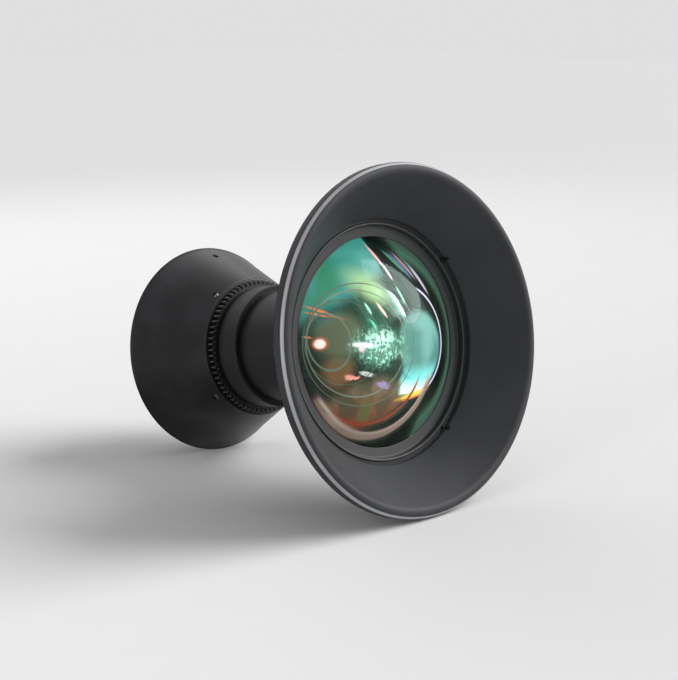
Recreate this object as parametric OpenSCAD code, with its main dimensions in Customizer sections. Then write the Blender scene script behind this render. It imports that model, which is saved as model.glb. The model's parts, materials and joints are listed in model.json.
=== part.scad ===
// Ultra-wide projection lens: a dish-shaped hood around a domed front glass, a geared
// focus ring, a conical rear bell and a bolted flange with the rear barrel behind it.
// The optical axis is Y and the front faces -Y, with +Z up. The origin is on the axis
// at the rear face of the mounting flange. All lengths are in millimetres.

/* [Hood] */
// Radial width of the hood's face, from the groove round the glass to the rim
dish_w = 33.1; // [30:0.1:38]
// Width of the rim band along the axis
rim_w = 8; // [6:0.5:12]
// Rounding of the front lip
lip_round = 4.5; // [3.5:0.5:6]
// Depth of the dish from the lip to its inner edge
dish_depth = 30.5; // [27:0.5:33]
// Thickness of the dish
dish_t = 3; // [2:0.5:4]
// Wall of the cone behind the dish
shell_t = 3; // [2:0.5:3.5]
// Height of the dish's inner edge above the land round the glass
eye_step = 3.5; // [3:0.5:6]

/* [Front glass] */
// Diameter of the front glass
glass_d = 144; // [138:1:148]
// Radius of its outer surface
glass_front_r = 100; // [94:1:115]
// Radius of its hollow inner surface
glass_back_r = 64; // [60:1:70]
// Thickness at its centre
glass_centre_t = 6; // [4.5:0.5:9]
// Thickness at its edge
glass_edge_t = 4.4; // [3.5:0.1:5.5]
// Radial width of the retaining ring outside the glass
retainer_step = 5; // [4:0.5:6]
// Height that the retaining ring stands above the barrel's face
retainer_rise = 2.8; // [1.5:0.1:3.5]
// Width of the dark groove between the dish and the retaining ring
eye_gap = 2.4; // [2:0.1:3.5]

/* [Inner lenses] */
// Diameter of the second lens
second_d = 92; // [86:1:96]
// Diameter of the third lens
third_d = 68; // [64:1:70]
// Width of the step in the bore that the fourth lens sits in
fourth_wall = 2; // [1.5:0.1:4]
// Wall of the sliding cell round its two lenses
cell_wall = 4.9; // [4.5:0.1:7]
// Wall of the rear barrel round its lenses
rear_wall = 3.45; // [3:0.05:5]
// Opening of the aperture stop
stop_d = 32; // [20:1:44]

/* [Barrels] */
// Bore of the main barrel
bore_d = 66; // [62:0.5:70]
// Wall of the main barrel under the focus ring
barrel_wall = 3; // [2.5:0.1:4]
// Height of the waist above the journal under the focus ring
waist_step = 2; // [1:0.1:3]
// Length of the waist
waist_l = 36.9; // [34:0.1:46]
// Height of the cone's foot above the waist
neck_step = 2; // [1:0.1:4]
// Space from the second lens's ring to the seat of the front glass
glass_space = 5.5; // [4:0.5:9]
// Length of the rear barrel behind the flange
spigot_l = 38; // [36:1:48]
// How much lower the rear barrel is behind the ring nut
spigot_step = 0.5; // [0.3:0.1:1.5]

/* [Focus ring] */
// Module of the gear teeth
gear_module = 1.25; // [1.2:0.01:1.3]
// Least thickness of the gear's rim under its teeth
gear_rim = 2.9; // [2:0.1:4]
// Width of the gear teeth along the axis
gear_w = 4.5; // [4:0.5:7]
// Width of the groove between gear and band
groove_w = 2.5; // [2.3:0.1:4]
// Wall of the ring at the bottom of that groove
ring_wall = 1.5; // [1.2:0.1:2.5]
// Height of the smooth band above the groove
band_step = 1.5; // [1:0.1:3]
// Width of the smooth band
band_w = 17.7; // [16.5:0.1:24]
// Turn of the focus ring to each side of its middle, in degrees
focus_turn = 45; // [30:1:50]
// Travel of the focus group to each side of its middle
focus_travel = 4; // [2:0.5:4.5]
// Diameter of the follower pins
follower_d = 4; // [3:0.5:4.5]

/* [Rear bell and flange] */
// Length of the bell from its neck to the flange's rear face
bell_l = 54; // [50:1:62]
// Height of the bell's neck above the barrel that it sits on
bell_neck_w = 11.5; // [10:0.5:14]
// Wall of the bell
bell_t = 3.5; // [2.5:0.5:4]
// Length of the hub in the bell's neck
bell_hub_l = 10; // [9:0.5:14]
// Rounding of the neck's front edge
bell_round = 1.5; // [0.5:0.5:3]
// Thickness of the mounting flange
flange_t = 8; // [6:0.5:10]
// Length of the flange's collar inside the bell
flange_collar_l = 12; // [10:0.5:15]
// Diameter of the mounting bolt circle
bolt_circle_d = 120; // [110:1:130]
// Radial width from the bolt circle to the bell's rim
rim_margin = 13; // [12:0.5:17]
// Tapping hole of the mounting bolts
bolt_hole_d = 4.2; // [3.3:0.1:5]
// Thickness of the ring nut behind the flange
lock_t = 4; // [3:0.5:6]
// Radial width of the ring nut
lock_w = 7; // [5:0.5:10]

/* [Screws] */
// Head diameter of the hood screws
hood_screw_d = 3.2; // [2.8:0.1:3.4]
// Head diameter of the bell screws
bell_screw_d = 4; // [3.6:0.1:4.6]
// Diameter of the set screw near the bell's rim
rim_screw_d = 3.6; // [2.5:0.1:4]
// Turn of the screw pattern on hood and bell, in degrees
screw_turn = -36; // [-45:1:-30]

/* [Hidden] */

// Clearances shared by every fit
fit_gap = 0.05;
seat_gap = 0.1;
ring_gap = 0.4;
washer_gap = 0.05;
cut_over = 1;
dome_foot = 1;
edge_chamfer = 0.5;
least_round = 0.5;

// Smoothness of round shapes
turn_fn = 180;
small_fn = 48;
arc_steps = 8;

// Stations along the axis, from the flange forwards
y_bell_front = -bell_l;
y_ring_back = y_bell_front - ring_gap;
y_gear_front = y_ring_back - gear_w;
y_groove_front = y_gear_front - groove_w;
y_ring_front = y_groove_front - band_w;
y_waist_back = y_ring_front - ring_gap;
y_waist_front = y_waist_back - waist_l;

// Barrel radii, from the bore outwards
fourth_r = bore_d / 2 - fourth_wall;
bore_r = bore_d / 2;
journal_r = bore_r + barrel_wall;
waist_r = journal_r + waist_step;
neck_r = waist_r + neck_step;
spigot_r = journal_r - spigot_step;

// Front barrel: seats of the third and second lens in front of its hub
hub_l = 12;
hub_shoulder_t = 3;
seat_ledge = 4;
small_step = 2.5;
lens_clear = 1;
y_hub = y_waist_front - hub_l;
third_r = third_d / 2;
third_edge_t = 12;
third_retainer_t = 3.5;
y_third_seat = y_hub - hub_shoulder_t;
y_third_front = y_third_seat - third_edge_t;
second_r = second_d / 2;
second_edge_t = 4.8;
second_bore_l = 3.5;
second_thread_l = 7.5;
second_ledge_t = 2;
y_second_seat = y_third_front - third_retainer_t - lens_clear;
y_second_face = y_second_seat - second_bore_l - second_thread_l;

// Front barrel: seats of the front glass and the pilot for the hood
pilot_h = 4;
retainer_l = 5;
glass_bore_l = 6;
glass_seat_w = 6;
seal_w = 2.5;
seal_t = 1.5;
y_glass_seat = y_second_face - glass_space;
y_retainer_seat = y_glass_seat - glass_bore_l;
y_face = y_retainer_seat - retainer_l;
y_shoulder = y_face + pilot_h;
glass_r = glass_d / 2;
retainer_r = glass_r + retainer_step;
eye_r = retainer_r + eye_gap;
eye_land_t = 2;
eye_land_gap = 0.4;
eye_wall = 2.1;
pilot_r = eye_r + eye_wall;
hood_r = eye_r + dish_w;
y_lip = y_face - eye_land_t - eye_step - dish_depth;

// Main barrel and what it carries
barrel_joint_l = 7.6;
y_main_back = y_bell_front + barrel_joint_l;
fourth_retainer_t = 3;
fourth_edge_t = 10;
fourth_ledge_t = 2;
y_fourth_front = y_hub + fourth_retainer_t;
y_fourth_seat = y_fourth_front + fourth_edge_t;
stop_spacer_l = 9;
stop_t = 1.5;
stop_retainer_t = 3.5;
y_stop_front = y_fourth_seat + fourth_ledge_t + stop_spacer_l;
tube_t = 4;

// Focus group
y_pin = (y_ring_front + y_groove_front) / 2;
cell_l = 24;
cell_ledge_t = 2;
cell_ledge = 3;
cell_r = bore_r - fit_gap;
focus_r = cell_r - cell_wall - fit_gap;
focus_rear_t = 6;
focus_spacer_t = 4;
focus_front_t = 7;
y_cell_front = y_pin - cell_l / 2;
y_cell_back = y_pin + cell_l / 2;
follower_r = follower_d / 2;
follower_shank_r = follower_r * 3 / 4;
follower_depth = 3.4;
sleeve_t = 3;
sleeve_r = journal_r + sleeve_t;
follower_tip_gap = 0.4;
cam_end = 6;
cam_steps = 26;
chord_share = 1.02;
follower_count = 3;

// Focus ring and its gear
root_share = 1.25;
groove_r = sleeve_r + ring_wall;
band_r = groove_r + band_step;
gear_teeth = ceil(2 * (groove_r + gear_rim + gear_module * root_share) / gear_module);
pitch_r = gear_module * gear_teeth / 2;
tip_r = pitch_r + gear_module;
root_r = pitch_r - gear_module * root_share;
pressure_angle = 20;
ring_screw_r = groove_w * 2 / 5;
ring_screw_turn = 60;
washer_t = ring_gap - 2 * washer_gap;
washer_w = 1.8;

// Rear bell, flange and their screws
bell_neck_r = journal_r + bell_neck_w;
bolt_r = bolt_circle_d / 2;
bell_rim_r = bolt_r + rim_margin;
lock_r = journal_r + lock_w;
rim_band = 2.5;
flange_bore_r = journal_r + fit_gap;
collar_t = 6;
y_bell_screw = y_bell_front + bell_hub_l / 2;
bell_screw_sink = 1.6;
bell_screw_head_l = 1.6;
bell_screw_tip = 1.8;
y_rim_screw = -(flange_t + flange_collar_l / 2);
rim_screw_sink = 1.8;
rim_screw_count = 1;
rim_screw_turn = 2;
screw_count = 4;
socket_share = 0.5;
hood_screw_head_l = 1.6;
hood_screw_l = 7;
bolt_count = 4;
bolt_turn = 45;
flange_wall = 13.5;
lock_notch_w = 5;
lock_notch_depth = 3;
lock_notch_count = 4;

// Rear barrel and the lenses in it
rear_r = spigot_r - rear_wall - fit_gap;
collar_w = 6;
rear_joint_l = 5.6;
rear_ledge = 2.5;
rear_ledge_l = 2.4;
rear_retainer_t = 4;
rear_end_gap = 1;
rear_thread_step = 1.4;
relay_t = 6;
relay_spacer_l = 14;
crown_t = 9;
flint_t = 5;
rear_lens_t = 8;
cement_gap = 0.1;
y_rear_seat = y_main_back + rear_ledge_l;
y_relay_back = y_rear_seat + relay_t;
y_crown_front = y_relay_back + relay_spacer_l;
y_flint_front = y_crown_front + crown_t + cement_gap;
y_flint_back = y_flint_front + flint_t;
y_rear_thread = spigot_l - rear_end_gap - rear_retainer_t;
y_rear_lens = y_rear_thread - rear_lens_t;

// Height of a round surface of radius big at distance near from its axis
function bulge(big, near) = big - sqrt(big * big - near * near);
// Radius of the cone behind the hood at station y
function cone_r(y) =
    neck_r + (hood_r - neck_r) * (y_waist_front - y) / (y_waist_front - y_lip - rim_w);
// Radial width of a wall of thickness t on that cone
cone_run = y_waist_front - y_lip - rim_w;
function cone_wall(t) = t * norm([cone_run, hood_r - neck_r]) / cone_run;
// Radius of the bell's outer cone and of its inner surface at station y
function bell_r(y) = bell_rim_r + (bell_rim_r - bell_neck_r) * y / bell_l;
function bell_wall(t) = t * norm([bell_l, bell_rim_r - bell_neck_r]) / bell_l;
function bell_in_r(y) = bell_r(y) - bell_wall(bell_t);
// Points of an arc about c
function arc(c, r, a0, a1) =
    [for (i = [0 : arc_steps]) let (a = a0 + (a1 - a0) * i / arc_steps) c + r * [cos(a), sin(a)]];
// Angles of a pattern round the axis
function turns(count, first) = [for (i = [0 : count - 1]) first + 360 / count * i];

// Turns an outline of [radius, station] points about the axis
module turned(points) {
    rotate([-90, 0, 0]) rotate_extrude($fn = turn_fn) polygon(points);
}

// A plain disc of radius r from station y0 to y1
module disc(r, y0, y1) {
    translate([0, y0, 0]) rotate([-90, 0, 0]) cylinder(r = r, h = y1 - y0, $fn = turn_fn);
}

// A plain ring
module ring(r_in, r_out, y0, y1) {
    turned([[r_in, y0], [r_out, y0], [r_out, y1], [r_in, y1]]);
}

// A ball on the axis at station y
module ball(r, y) {
    translate([0, y, 0]) sphere(r = r, $fn = turn_fn);
}

// A radial peg at station y and angle a from the top, from radius r0 to r1
module peg(a, y, r, r0, r1, fn = small_fn) {
    rotate([0, a, 0]) translate([0, y, r0]) cylinder(r = r, h = r1 - r0, $fn = fn);
}

// A dome on a lens: from station y towards side, over radius near
module dome(big, near, y, side) {
    top = y + side * bulge(big, near);
    foot = y - side * dome_foot;
    intersection() {
        ball(big, top - side * big);
        disc(near, min(top, foot), max(top, foot));
    }
}

// The ball that hollows out a lens face at station y to a depth
module hollow(big, depth, y, side) {
    ball(big, y + side * (big - depth));
}

module front_hood() {
    lip_c = [hood_r - lip_round, y_lip + lip_round];
    eye = [eye_r, y_lip + dish_depth];
    away = eye - lip_c;
    inner_round = max(lip_round - dish_t, least_round);
    touch = atan2(away[1], away[0]) + acos(lip_round / norm(away));
    slope = (eye[0] - lip_c[0] - lip_round * cos(touch))
        / (eye[1] - lip_c[1] - lip_round * sin(touch));
    back_pilot_y = lip_c[1] + inner_round * sin(touch)
        + (pilot_r - lip_c[0] - inner_round * cos(touch)) / slope;
    color([0.13, 0.13, 0.14]) difference() {
        turned(concat(
            [[retainer_r + eye_land_gap, y_face], [retainer_r + eye_land_gap, y_face - eye_land_t],
             [eye_r, y_face - eye_land_t], eye],
            arc(lip_c, lip_round, touch, 360),
            [[hood_r, y_lip + rim_w], [hood_r - dish_t, y_lip + rim_w]],
            arc([hood_r - dish_t - inner_round, lip_c[1]], inner_round, 360, touch),
            [[pilot_r, back_pilot_y], [pilot_r, y_face]]
        ));
        for (a = turns(screw_count, screw_turn)) {
            hood_screw_cut(a);
        }
    }
}

// Scallop for a hood screw's head and the hole for its shank
module hood_screw_cut(a) {
    y_open = y_lip + dish_depth - 2 * dish_t;
    rotate([0, a, 0]) translate([0, y_open, eye_r]) rotate([-90, 0, 0])
        cylinder(r = hood_screw_d / 2 + seat_gap * 2, h = y_face - eye_land_t - y_open,
                 $fn = small_fn);
    rotate([0, a, 0]) translate([0, y_face - eye_land_t - cut_over, eye_r]) rotate([-90, 0, 0])
        cylinder(r = hood_screw_d / 4 + fit_gap, h = eye_land_t + 2 * cut_over, $fn = small_fn);
}

module hood_shell() {
    y_front = y_lip + rim_w;
    wall = cone_wall(shell_t);
    lap_r = hood_r - dish_t - fit_gap;
    lap_l = rim_w / 4;
    color([0.10, 0.10, 0.11]) turned([
        [lap_r - shell_t, y_front - lap_l], [lap_r, y_front - lap_l], [lap_r, y_front],
        [hood_r, y_front], [cone_r(y_shoulder), y_shoulder],
        [max(cone_r(y_shoulder) - wall, pilot_r + seat_gap), y_shoulder],
        [cone_r(y_front + shell_t) - wall, y_front + shell_t],
        [lap_r - shell_t, y_front]
    ]);
}

module hood_screws() {
    head_y = y_face - eye_land_t - hood_screw_head_l;
    color([0.08, 0.08, 0.08]) for (a = turns(screw_count, screw_turn)) {
        rotate([0, a, 0]) translate([0, 0, eye_r]) rotate([-90, 0, 0]) difference() {
            union() {
                translate([0, 0, head_y])
                    cylinder(r = hood_screw_d / 2, h = hood_screw_head_l, $fn = small_fn);
                translate([0, 0, head_y])
                    cylinder(r = hood_screw_d / 4, h = hood_screw_l, $fn = small_fn);
            }
            translate([0, 0, head_y - cut_over])
                cylinder(r = hood_screw_d / 2 * socket_share,
                         h = hood_screw_head_l / 2 + cut_over, $fn = 6);
        }
    }
}

// Station of the front glass's outer surface at radius r
y_glass_edge = y_glass_seat - glass_edge_t;
function glass_y(r) = y_glass_edge - bulge(glass_front_r, glass_r) + bulge(glass_front_r, r);

module front_retainer() {
    lip_r = glass_r - retainer_step * 3 / 4;
    y_top = y_face - retainer_rise;
    y_end = y_retainer_seat - 2 * seat_gap;
    lip_t = glass_edge_t / 5;
    wall_r = retainer_r - retainer_step / 3;
    end_r = sqrt(pow(glass_front_r, 2)
        - pow(glass_front_r - (y_end + 2 * seat_gap - glass_y(0)), 2));
    color([0.12, 0.12, 0.13]) turned([
        [retainer_r, y_end], [retainer_r, y_top + edge_chamfer],
        [retainer_r - edge_chamfer, y_top], [wall_r + edge_chamfer, y_top],
        [wall_r, y_top + edge_chamfer],
        [wall_r - edge_chamfer, glass_y(lip_r) - lip_t * 2],
        [wall_r - 2 * edge_chamfer, glass_y(lip_r) - lip_t * 2],
        [wall_r - 2.5 * edge_chamfer, glass_y(lip_r) - lip_t * 1.5],
        [lip_r, glass_y(lip_r) - lip_t],
        [lip_r, glass_y(lip_r) - 2 * seat_gap],
        [end_r, y_end]
    ]);
}

module front_lens() {
    hollow_depth = y_glass_seat - glass_y(0) - glass_centre_t;
    color([0.35, 0.65, 0.60, 0.5]) difference() {
        union() {
            disc(glass_r, y_glass_edge, y_glass_seat);
            dome(glass_front_r, glass_r, y_glass_edge, -1);
        }
        hollow(glass_back_r, hollow_depth, y_glass_seat, 1);
    }
}

module front_seal() {
    color([0.05, 0.05, 0.05])
        ring(glass_r - glass_seat_w / 3 - seal_w + seat_gap, glass_r - glass_seat_w / 3 - seat_gap,
             y_glass_seat, y_glass_seat + seal_t - seat_gap);
}

module front_barrel() {
    seal_r = glass_r - glass_seat_w / 3;
    y_thread = y_second_seat - second_bore_l;
    color([0.11, 0.11, 0.12]) difference() {
        turned([
            [pilot_r, y_face], [pilot_r, y_shoulder],
            [cone_r(y_shoulder), y_shoulder], [neck_r, y_waist_front],
            [journal_r, y_waist_front], [journal_r, y_hub],
            [third_r - seat_ledge, y_hub], [third_r - seat_ledge, y_third_seat],
            [third_r + fit_gap, y_third_seat], [third_r + fit_gap, y_third_front + edge_chamfer],
            [third_r + small_step + fit_gap, y_third_front + edge_chamfer],
            [third_r + small_step + fit_gap, y_second_seat + second_ledge_t],
            [second_r - seat_ledge, y_second_seat + second_ledge_t],
            [second_r - seat_ledge, y_second_seat],
            [second_r + fit_gap, y_second_seat], [second_r + fit_gap, y_thread],
            [second_r + small_step + fit_gap, y_thread],
            [second_r + small_step + fit_gap, y_second_face],
            [second_r + seat_ledge, y_second_face],
            [glass_r - glass_seat_w, y_glass_seat + glass_seat_w / 2],
            [glass_r - glass_seat_w, y_glass_seat],
            [seal_r - seal_w, y_glass_seat], [seal_r - seal_w, y_glass_seat + seal_t],
            [seal_r, y_glass_seat + seal_t], [seal_r, y_glass_seat],
            [glass_r + fit_gap, y_glass_seat], [glass_r + fit_gap, y_retainer_seat],
            [retainer_r + fit_gap, y_retainer_seat], [retainer_r + fit_gap, y_face]
        ]);
        for (a = turns(screw_count, screw_turn)) {
            rotate([0, a, 0]) translate([0, y_face - cut_over, eye_r]) rotate([-90, 0, 0])
                cylinder(r = hood_screw_d / 4 + fit_gap,
                         h = hood_screw_l - hood_screw_head_l - eye_land_t + 2 * cut_over,
                         $fn = small_fn);
        }
    }
}

module second_retainer() {
    y_end = y_second_seat - second_bore_l - seat_gap;
    y_edge = y_second_seat - second_edge_t;
    lip_r = second_r - small_step;
    rise = bulge(second_front_r, second_r) - bulge(second_front_r, lip_r);
    color([0.10, 0.10, 0.10]) turned([
        [second_r + small_step, y_end], [second_r + small_step, y_second_face],
        [lip_r, y_second_face], [lip_r, y_edge - rise - 2 * seat_gap],
        [second_r, y_edge - 2 * seat_gap], [second_r, y_end]
    ]);
}

second_front_r = 58;
second_back_r = 34;
second_centre_t = 5;

module second_lens() {
    y_edge = y_second_seat - second_edge_t;
    depth = second_edge_t + bulge(second_front_r, second_r) - second_centre_t;
    color([0.55, 0.70, 0.72, 0.5]) difference() {
        union() {
            disc(second_r, y_edge, y_second_seat);
            dome(second_front_r, second_r, y_edge, -1);
        }
        hollow(second_back_r, depth, y_second_seat, 1);
    }
}

module third_retainer() {
    color([0.10, 0.10, 0.10])
        ring(third_r - seat_ledge, third_r + small_step, y_third_front - third_retainer_t,
             y_third_front);
}

third_front_r = 150;
third_front_depth = 2.8;
third_back_r = 60;
third_back_depth = 5.9;

module third_lens() {
    color([0.55, 0.70, 0.72, 0.5]) difference() {
        disc(third_r, y_third_front, y_third_seat);
        hollow(third_front_r, third_front_depth, y_third_front, -1);
        hollow(third_back_r, third_back_depth, y_third_seat, 1);
    }
}

module main_barrel() {
    y_ledge = y_fourth_seat + fourth_ledge_t;
    color([0.09, 0.09, 0.10]) difference() {
        turned([
            [journal_r - fit_gap, y_hub], [journal_r - fit_gap, y_waist_front],
            [waist_r, y_waist_front], [waist_r, y_waist_back - edge_chamfer],
            [waist_r - edge_chamfer, y_waist_back], [journal_r, y_waist_back],
            [journal_r, y_main_back], [bore_r, y_main_back], [bore_r, y_ledge],
            [fourth_r - small_step, y_ledge], [fourth_r - small_step, y_fourth_seat],
            [fourth_r + fit_gap, y_fourth_seat], [fourth_r + fit_gap, y_hub]
        ]);
        for (a = turns(follower_count, 0)) {
            guide_slot(a);
        }
        for (a = turns(screw_count, screw_turn)) {
            peg(a, y_bell_screw, bell_screw_d * 3 / 8 + fit_gap,
                journal_r - bell_screw_tip - 2 * seat_gap, journal_r + cut_over);
        }
    }
}

// Straight slot in the main barrel that a follower pin slides along
module guide_slot(a) {
    half_w = follower_r + seat_gap;
    reach = focus_travel + seat_gap;
    for (side = [-1, 1]) {
        peg(a, y_pin + side * reach, half_w, bore_r - cut_over, journal_r + cut_over);
    }
    rotate([0, a, 0]) translate([-half_w, y_pin - reach, bore_r - cut_over])
        cube([2 * half_w, 2 * reach, journal_r - bore_r + 2 * cut_over]);
}

module fourth_retainer() {
    color([0.10, 0.10, 0.10])
        ring(fourth_r - small_step, fourth_r, y_hub, y_fourth_front);
}

fourth_lens_r = 60;

module fourth_lens() {
    near = fourth_r - small_step - seat_gap;
    color([0.55, 0.70, 0.72, 0.5]) union() {
        disc(fourth_r, y_fourth_front, y_fourth_seat);
        dome(fourth_lens_r, near, y_fourth_front, -1);
        dome(fourth_lens_r, near, y_fourth_seat, 1);
    }
}

module stop_spacer() {
    color([0.10, 0.10, 0.10])
        ring(bore_r - tube_t, bore_r - fit_gap, y_stop_front - stop_spacer_l, y_stop_front);
}

module aperture_stop() {
    color([0.06, 0.06, 0.06]) turned([
        [stop_d / 2, y_stop_front], [bore_r - fit_gap, y_stop_front],
        [bore_r - fit_gap, y_stop_front + stop_t], [stop_d / 2 + stop_t, y_stop_front + stop_t]
    ]);
}

module stop_retainer() {
    color([0.10, 0.10, 0.10])
        ring(bore_r - tube_t, bore_r - fit_gap, y_stop_front + stop_t,
             y_stop_front + stop_t + stop_retainer_t);
}

module focus_cell() {
    y_seat = y_cell_back - cell_ledge_t;
    color([0.45, 0.45, 0.47]) difference() {
        ring(focus_r + fit_gap, cell_r, y_cell_front, y_cell_back);
        for (a = turns(follower_count, 0)) {
            peg(a, y_pin, follower_shank_r + fit_gap, cell_r - follower_depth,
                cell_r + cut_over);
        }
    }
    color([0.45, 0.45, 0.47])
        ring(focus_r - cell_ledge, (focus_r + cell_r) / 2, y_seat, y_cell_back);
}

module focus_retainer() {
    y_front_lens = y_cell_back - cell_ledge_t - focus_rear_t - focus_spacer_t - focus_front_t;
    color([0.10, 0.10, 0.10]) ring(focus_r - cell_ledge, focus_r, y_cell_front, y_front_lens);
}

focus_front_r = 75;
focus_back_r = 90;
focus_rear_hollow_r = 70;
focus_rear_hollow_depth = 3;
focus_rear_dome_r = 80;

module focus_lens_front() {
    near = focus_r - cell_ledge - seat_gap;
    y_back = y_cell_back - cell_ledge_t - focus_rear_t - focus_spacer_t;
    color([0.55, 0.70, 0.72, 0.5]) union() {
        disc(focus_r, y_back - focus_front_t, y_back);
        dome(focus_front_r, near, y_back - focus_front_t, -1);
        dome(focus_back_r, near, y_back, 1);
    }
}

module focus_spacer() {
    y_back = y_cell_back - cell_ledge_t - focus_rear_t;
    color([0.10, 0.10, 0.10])
        ring(focus_r - cell_ledge, focus_r, y_back - focus_spacer_t, y_back);
}

module focus_lens_rear() {
    near = focus_r - cell_ledge - seat_gap;
    y_back = y_cell_back - cell_ledge_t;
    color([0.55, 0.70, 0.72, 0.5]) difference() {
        union() {
            disc(focus_r, y_back - focus_rear_t, y_back);
            dome(focus_rear_dome_r, near, y_back, 1);
        }
        hollow(focus_rear_hollow_r, focus_rear_hollow_depth, y_back - focus_rear_t, -1);
    }
}

module cam_followers() {
    color([0.70, 0.70, 0.72]) for (a = turns(follower_count, 0)) {
        peg(a, y_pin, follower_shank_r, cell_r - follower_depth + seat_gap, cell_r + seat_gap);
        peg(a, y_pin, follower_r, cell_r + seat_gap, sleeve_r - follower_tip_gap);
    }
}

// Points round a band that climbs with the angle: four corners at each step
module cam_cut(a0) {
    half = focus_turn + cam_end;
    half_w = (follower_r + seat_gap) * chord_share;
    lead = focus_travel / focus_turn;
    radii = [journal_r - cut_over, sleeve_r + cut_over];
    corners = [for (i = [0 : cam_steps]) let (
            t = -half + 2 * half * i / cam_steps,
            y = y_pin - lead * t
        ) each [for (c = [[0, -1], [1, -1], [1, 1], [0, 1]])
            [radii[c[0]] * sin(a0 + t), y + c[1] * half_w, radii[c[0]] * cos(a0 + t)]]];
    sides = [for (i = [0 : cam_steps - 1], k = [0 : 3]) let (
            p = 4 * i + k, q = 4 * i + (k + 1) % 4
        ) each [[p, q, p + 4], [q, q + 4, p + 4]]];
    last = 4 * cam_steps;
    ends = [[0, 2, 1], [0, 3, 2], [last, last + 1, last + 2], [last, last + 2, last + 3]];
    polyhedron(points = corners, faces = concat(sides, ends));
}

module cam_sleeve() {
    y_screw = (y_gear_front + y_groove_front) / 2;
    color([0.75, 0.60, 0.30]) difference() {
        ring(journal_r + fit_gap, sleeve_r, y_ring_front, y_ring_back);
        for (a = turns(follower_count, 0)) {
            cam_cut(a);
        }
        for (a = turns(follower_count, ring_screw_turn)) {
            peg(a, y_screw, ring_screw_r + fit_gap, sleeve_r - sleeve_t / 2, sleeve_r + cut_over);
        }
    }
}

module focus_ring() {
    y_screw = (y_gear_front + y_groove_front) / 2;
    color([0.10, 0.10, 0.11]) difference() {
        turned([
            [sleeve_r + fit_gap, y_ring_front], [band_r - edge_chamfer, y_ring_front],
            [band_r, y_ring_front + edge_chamfer], [band_r, y_groove_front - edge_chamfer],
            [band_r - edge_chamfer, y_groove_front], [groove_r, y_groove_front],
            [groove_r, y_ring_back], [sleeve_r + fit_gap, y_ring_back]
        ]);
        for (a = turns(follower_count, ring_screw_turn)) {
            peg(a, y_screw, ring_screw_r + fit_gap, sleeve_r - cut_over, groove_r + cut_over);
        }
    }
}

// Half of a tooth's angle at radius r
function tooth_half(r) =
    (gear_module * PI / 4 - (r - pitch_r) * tan(pressure_angle)) / r * 180 / PI;

module focus_gear() {
    profile = [root_r, pitch_r, tip_r];
    teeth = [for (i = [0 : gear_teeth - 1]) let (a = 360 / gear_teeth * i) each concat(
        [for (r = profile) r * [cos(a - tooth_half(r)), sin(a - tooth_half(r))]],
        [for (k = [2 : -1 : 0]) let (r = profile[k])
            r * [cos(a + tooth_half(r)), sin(a + tooth_half(r))]]
    )];
    color([0.12, 0.12, 0.13]) difference() {
        translate([0, y_gear_front, 0]) rotate([-90, 0, 0])
            linear_extrude(height = gear_w) polygon(teeth);
        disc(groove_r + fit_gap, y_gear_front - cut_over, y_ring_back + cut_over);
    }
}

module ring_screws() {
    y_screw = (y_gear_front + y_groove_front) / 2;
    r0 = sleeve_r - sleeve_t / 2 + seat_gap;
    r1 = groove_r - seat_gap;
    color([0.30, 0.30, 0.31]) for (a = turns(follower_count, ring_screw_turn)) {
        difference() {
            peg(a, y_screw, ring_screw_r, r0, r1);
            peg(a, y_screw, ring_screw_r * socket_share, r1 - ring_screw_r, r1 + cut_over, 6);
        }
    }
}

module thrust_washers() {
    color([0.85, 0.85, 0.82]) {
        ring(journal_r + seat_gap, journal_r + seat_gap + washer_w,
             y_waist_back + washer_gap, y_waist_back + washer_gap + washer_t);
        ring(journal_r + seat_gap, journal_r + seat_gap + washer_w,
             y_ring_back + washer_gap, y_ring_back + washer_gap + washer_t);
    }
}

module rear_bell() {
    hub_y = y_bell_front + bell_hub_l;
    y_round = y_bell_front + bell_round;
    color([0.10, 0.10, 0.11]) difference() {
        turned(concat(
            [[journal_r + fit_gap, y_bell_front]],
            arc([bell_r(y_round) - bell_round, y_round], bell_round, 270, 360),
            [[bell_r(-rim_band), -rim_band], [bell_rim_r, -rim_band / 3],
             [bell_rim_r - rim_band / 3, 0],
             [bell_in_r(0), 0], [bell_in_r(hub_y), hub_y],
             [journal_r + fit_gap, hub_y]]
        ));
        for (a = turns(screw_count, screw_turn)) {
            peg(a, y_bell_screw, bell_screw_d / 2 + seat_gap * 2,
                bell_r(y_bell_screw) - bell_screw_sink, bell_rim_r);
            peg(a, y_bell_screw, bell_screw_d * 3 / 8 + fit_gap, journal_r - cut_over, bell_rim_r);
        }
        for (a = turns(rim_screw_count, rim_screw_turn)) {
            peg(a, y_rim_screw, rim_screw_d / 2 + fit_gap,
                bell_in_r(y_rim_screw) - bell_t, bell_rim_r);
        }
    }
}

module bell_screws() {
    r_seat = bell_r(y_bell_screw) - bell_screw_sink;
    r_top = r_seat + bell_screw_head_l;
    color([0.35, 0.35, 0.36]) for (a = turns(screw_count, screw_turn)) {
        difference() {
            union() {
                peg(a, y_bell_screw, bell_screw_d / 2, r_seat, r_top);
                peg(a, y_bell_screw, bell_screw_d * 3 / 8, journal_r - bell_screw_tip, r_top);
            }
            peg(a, y_bell_screw, bell_screw_d / 2 * socket_share, r_top - bell_screw_head_l / 2,
                r_top + cut_over, 6);
        }
    }
}

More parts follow.
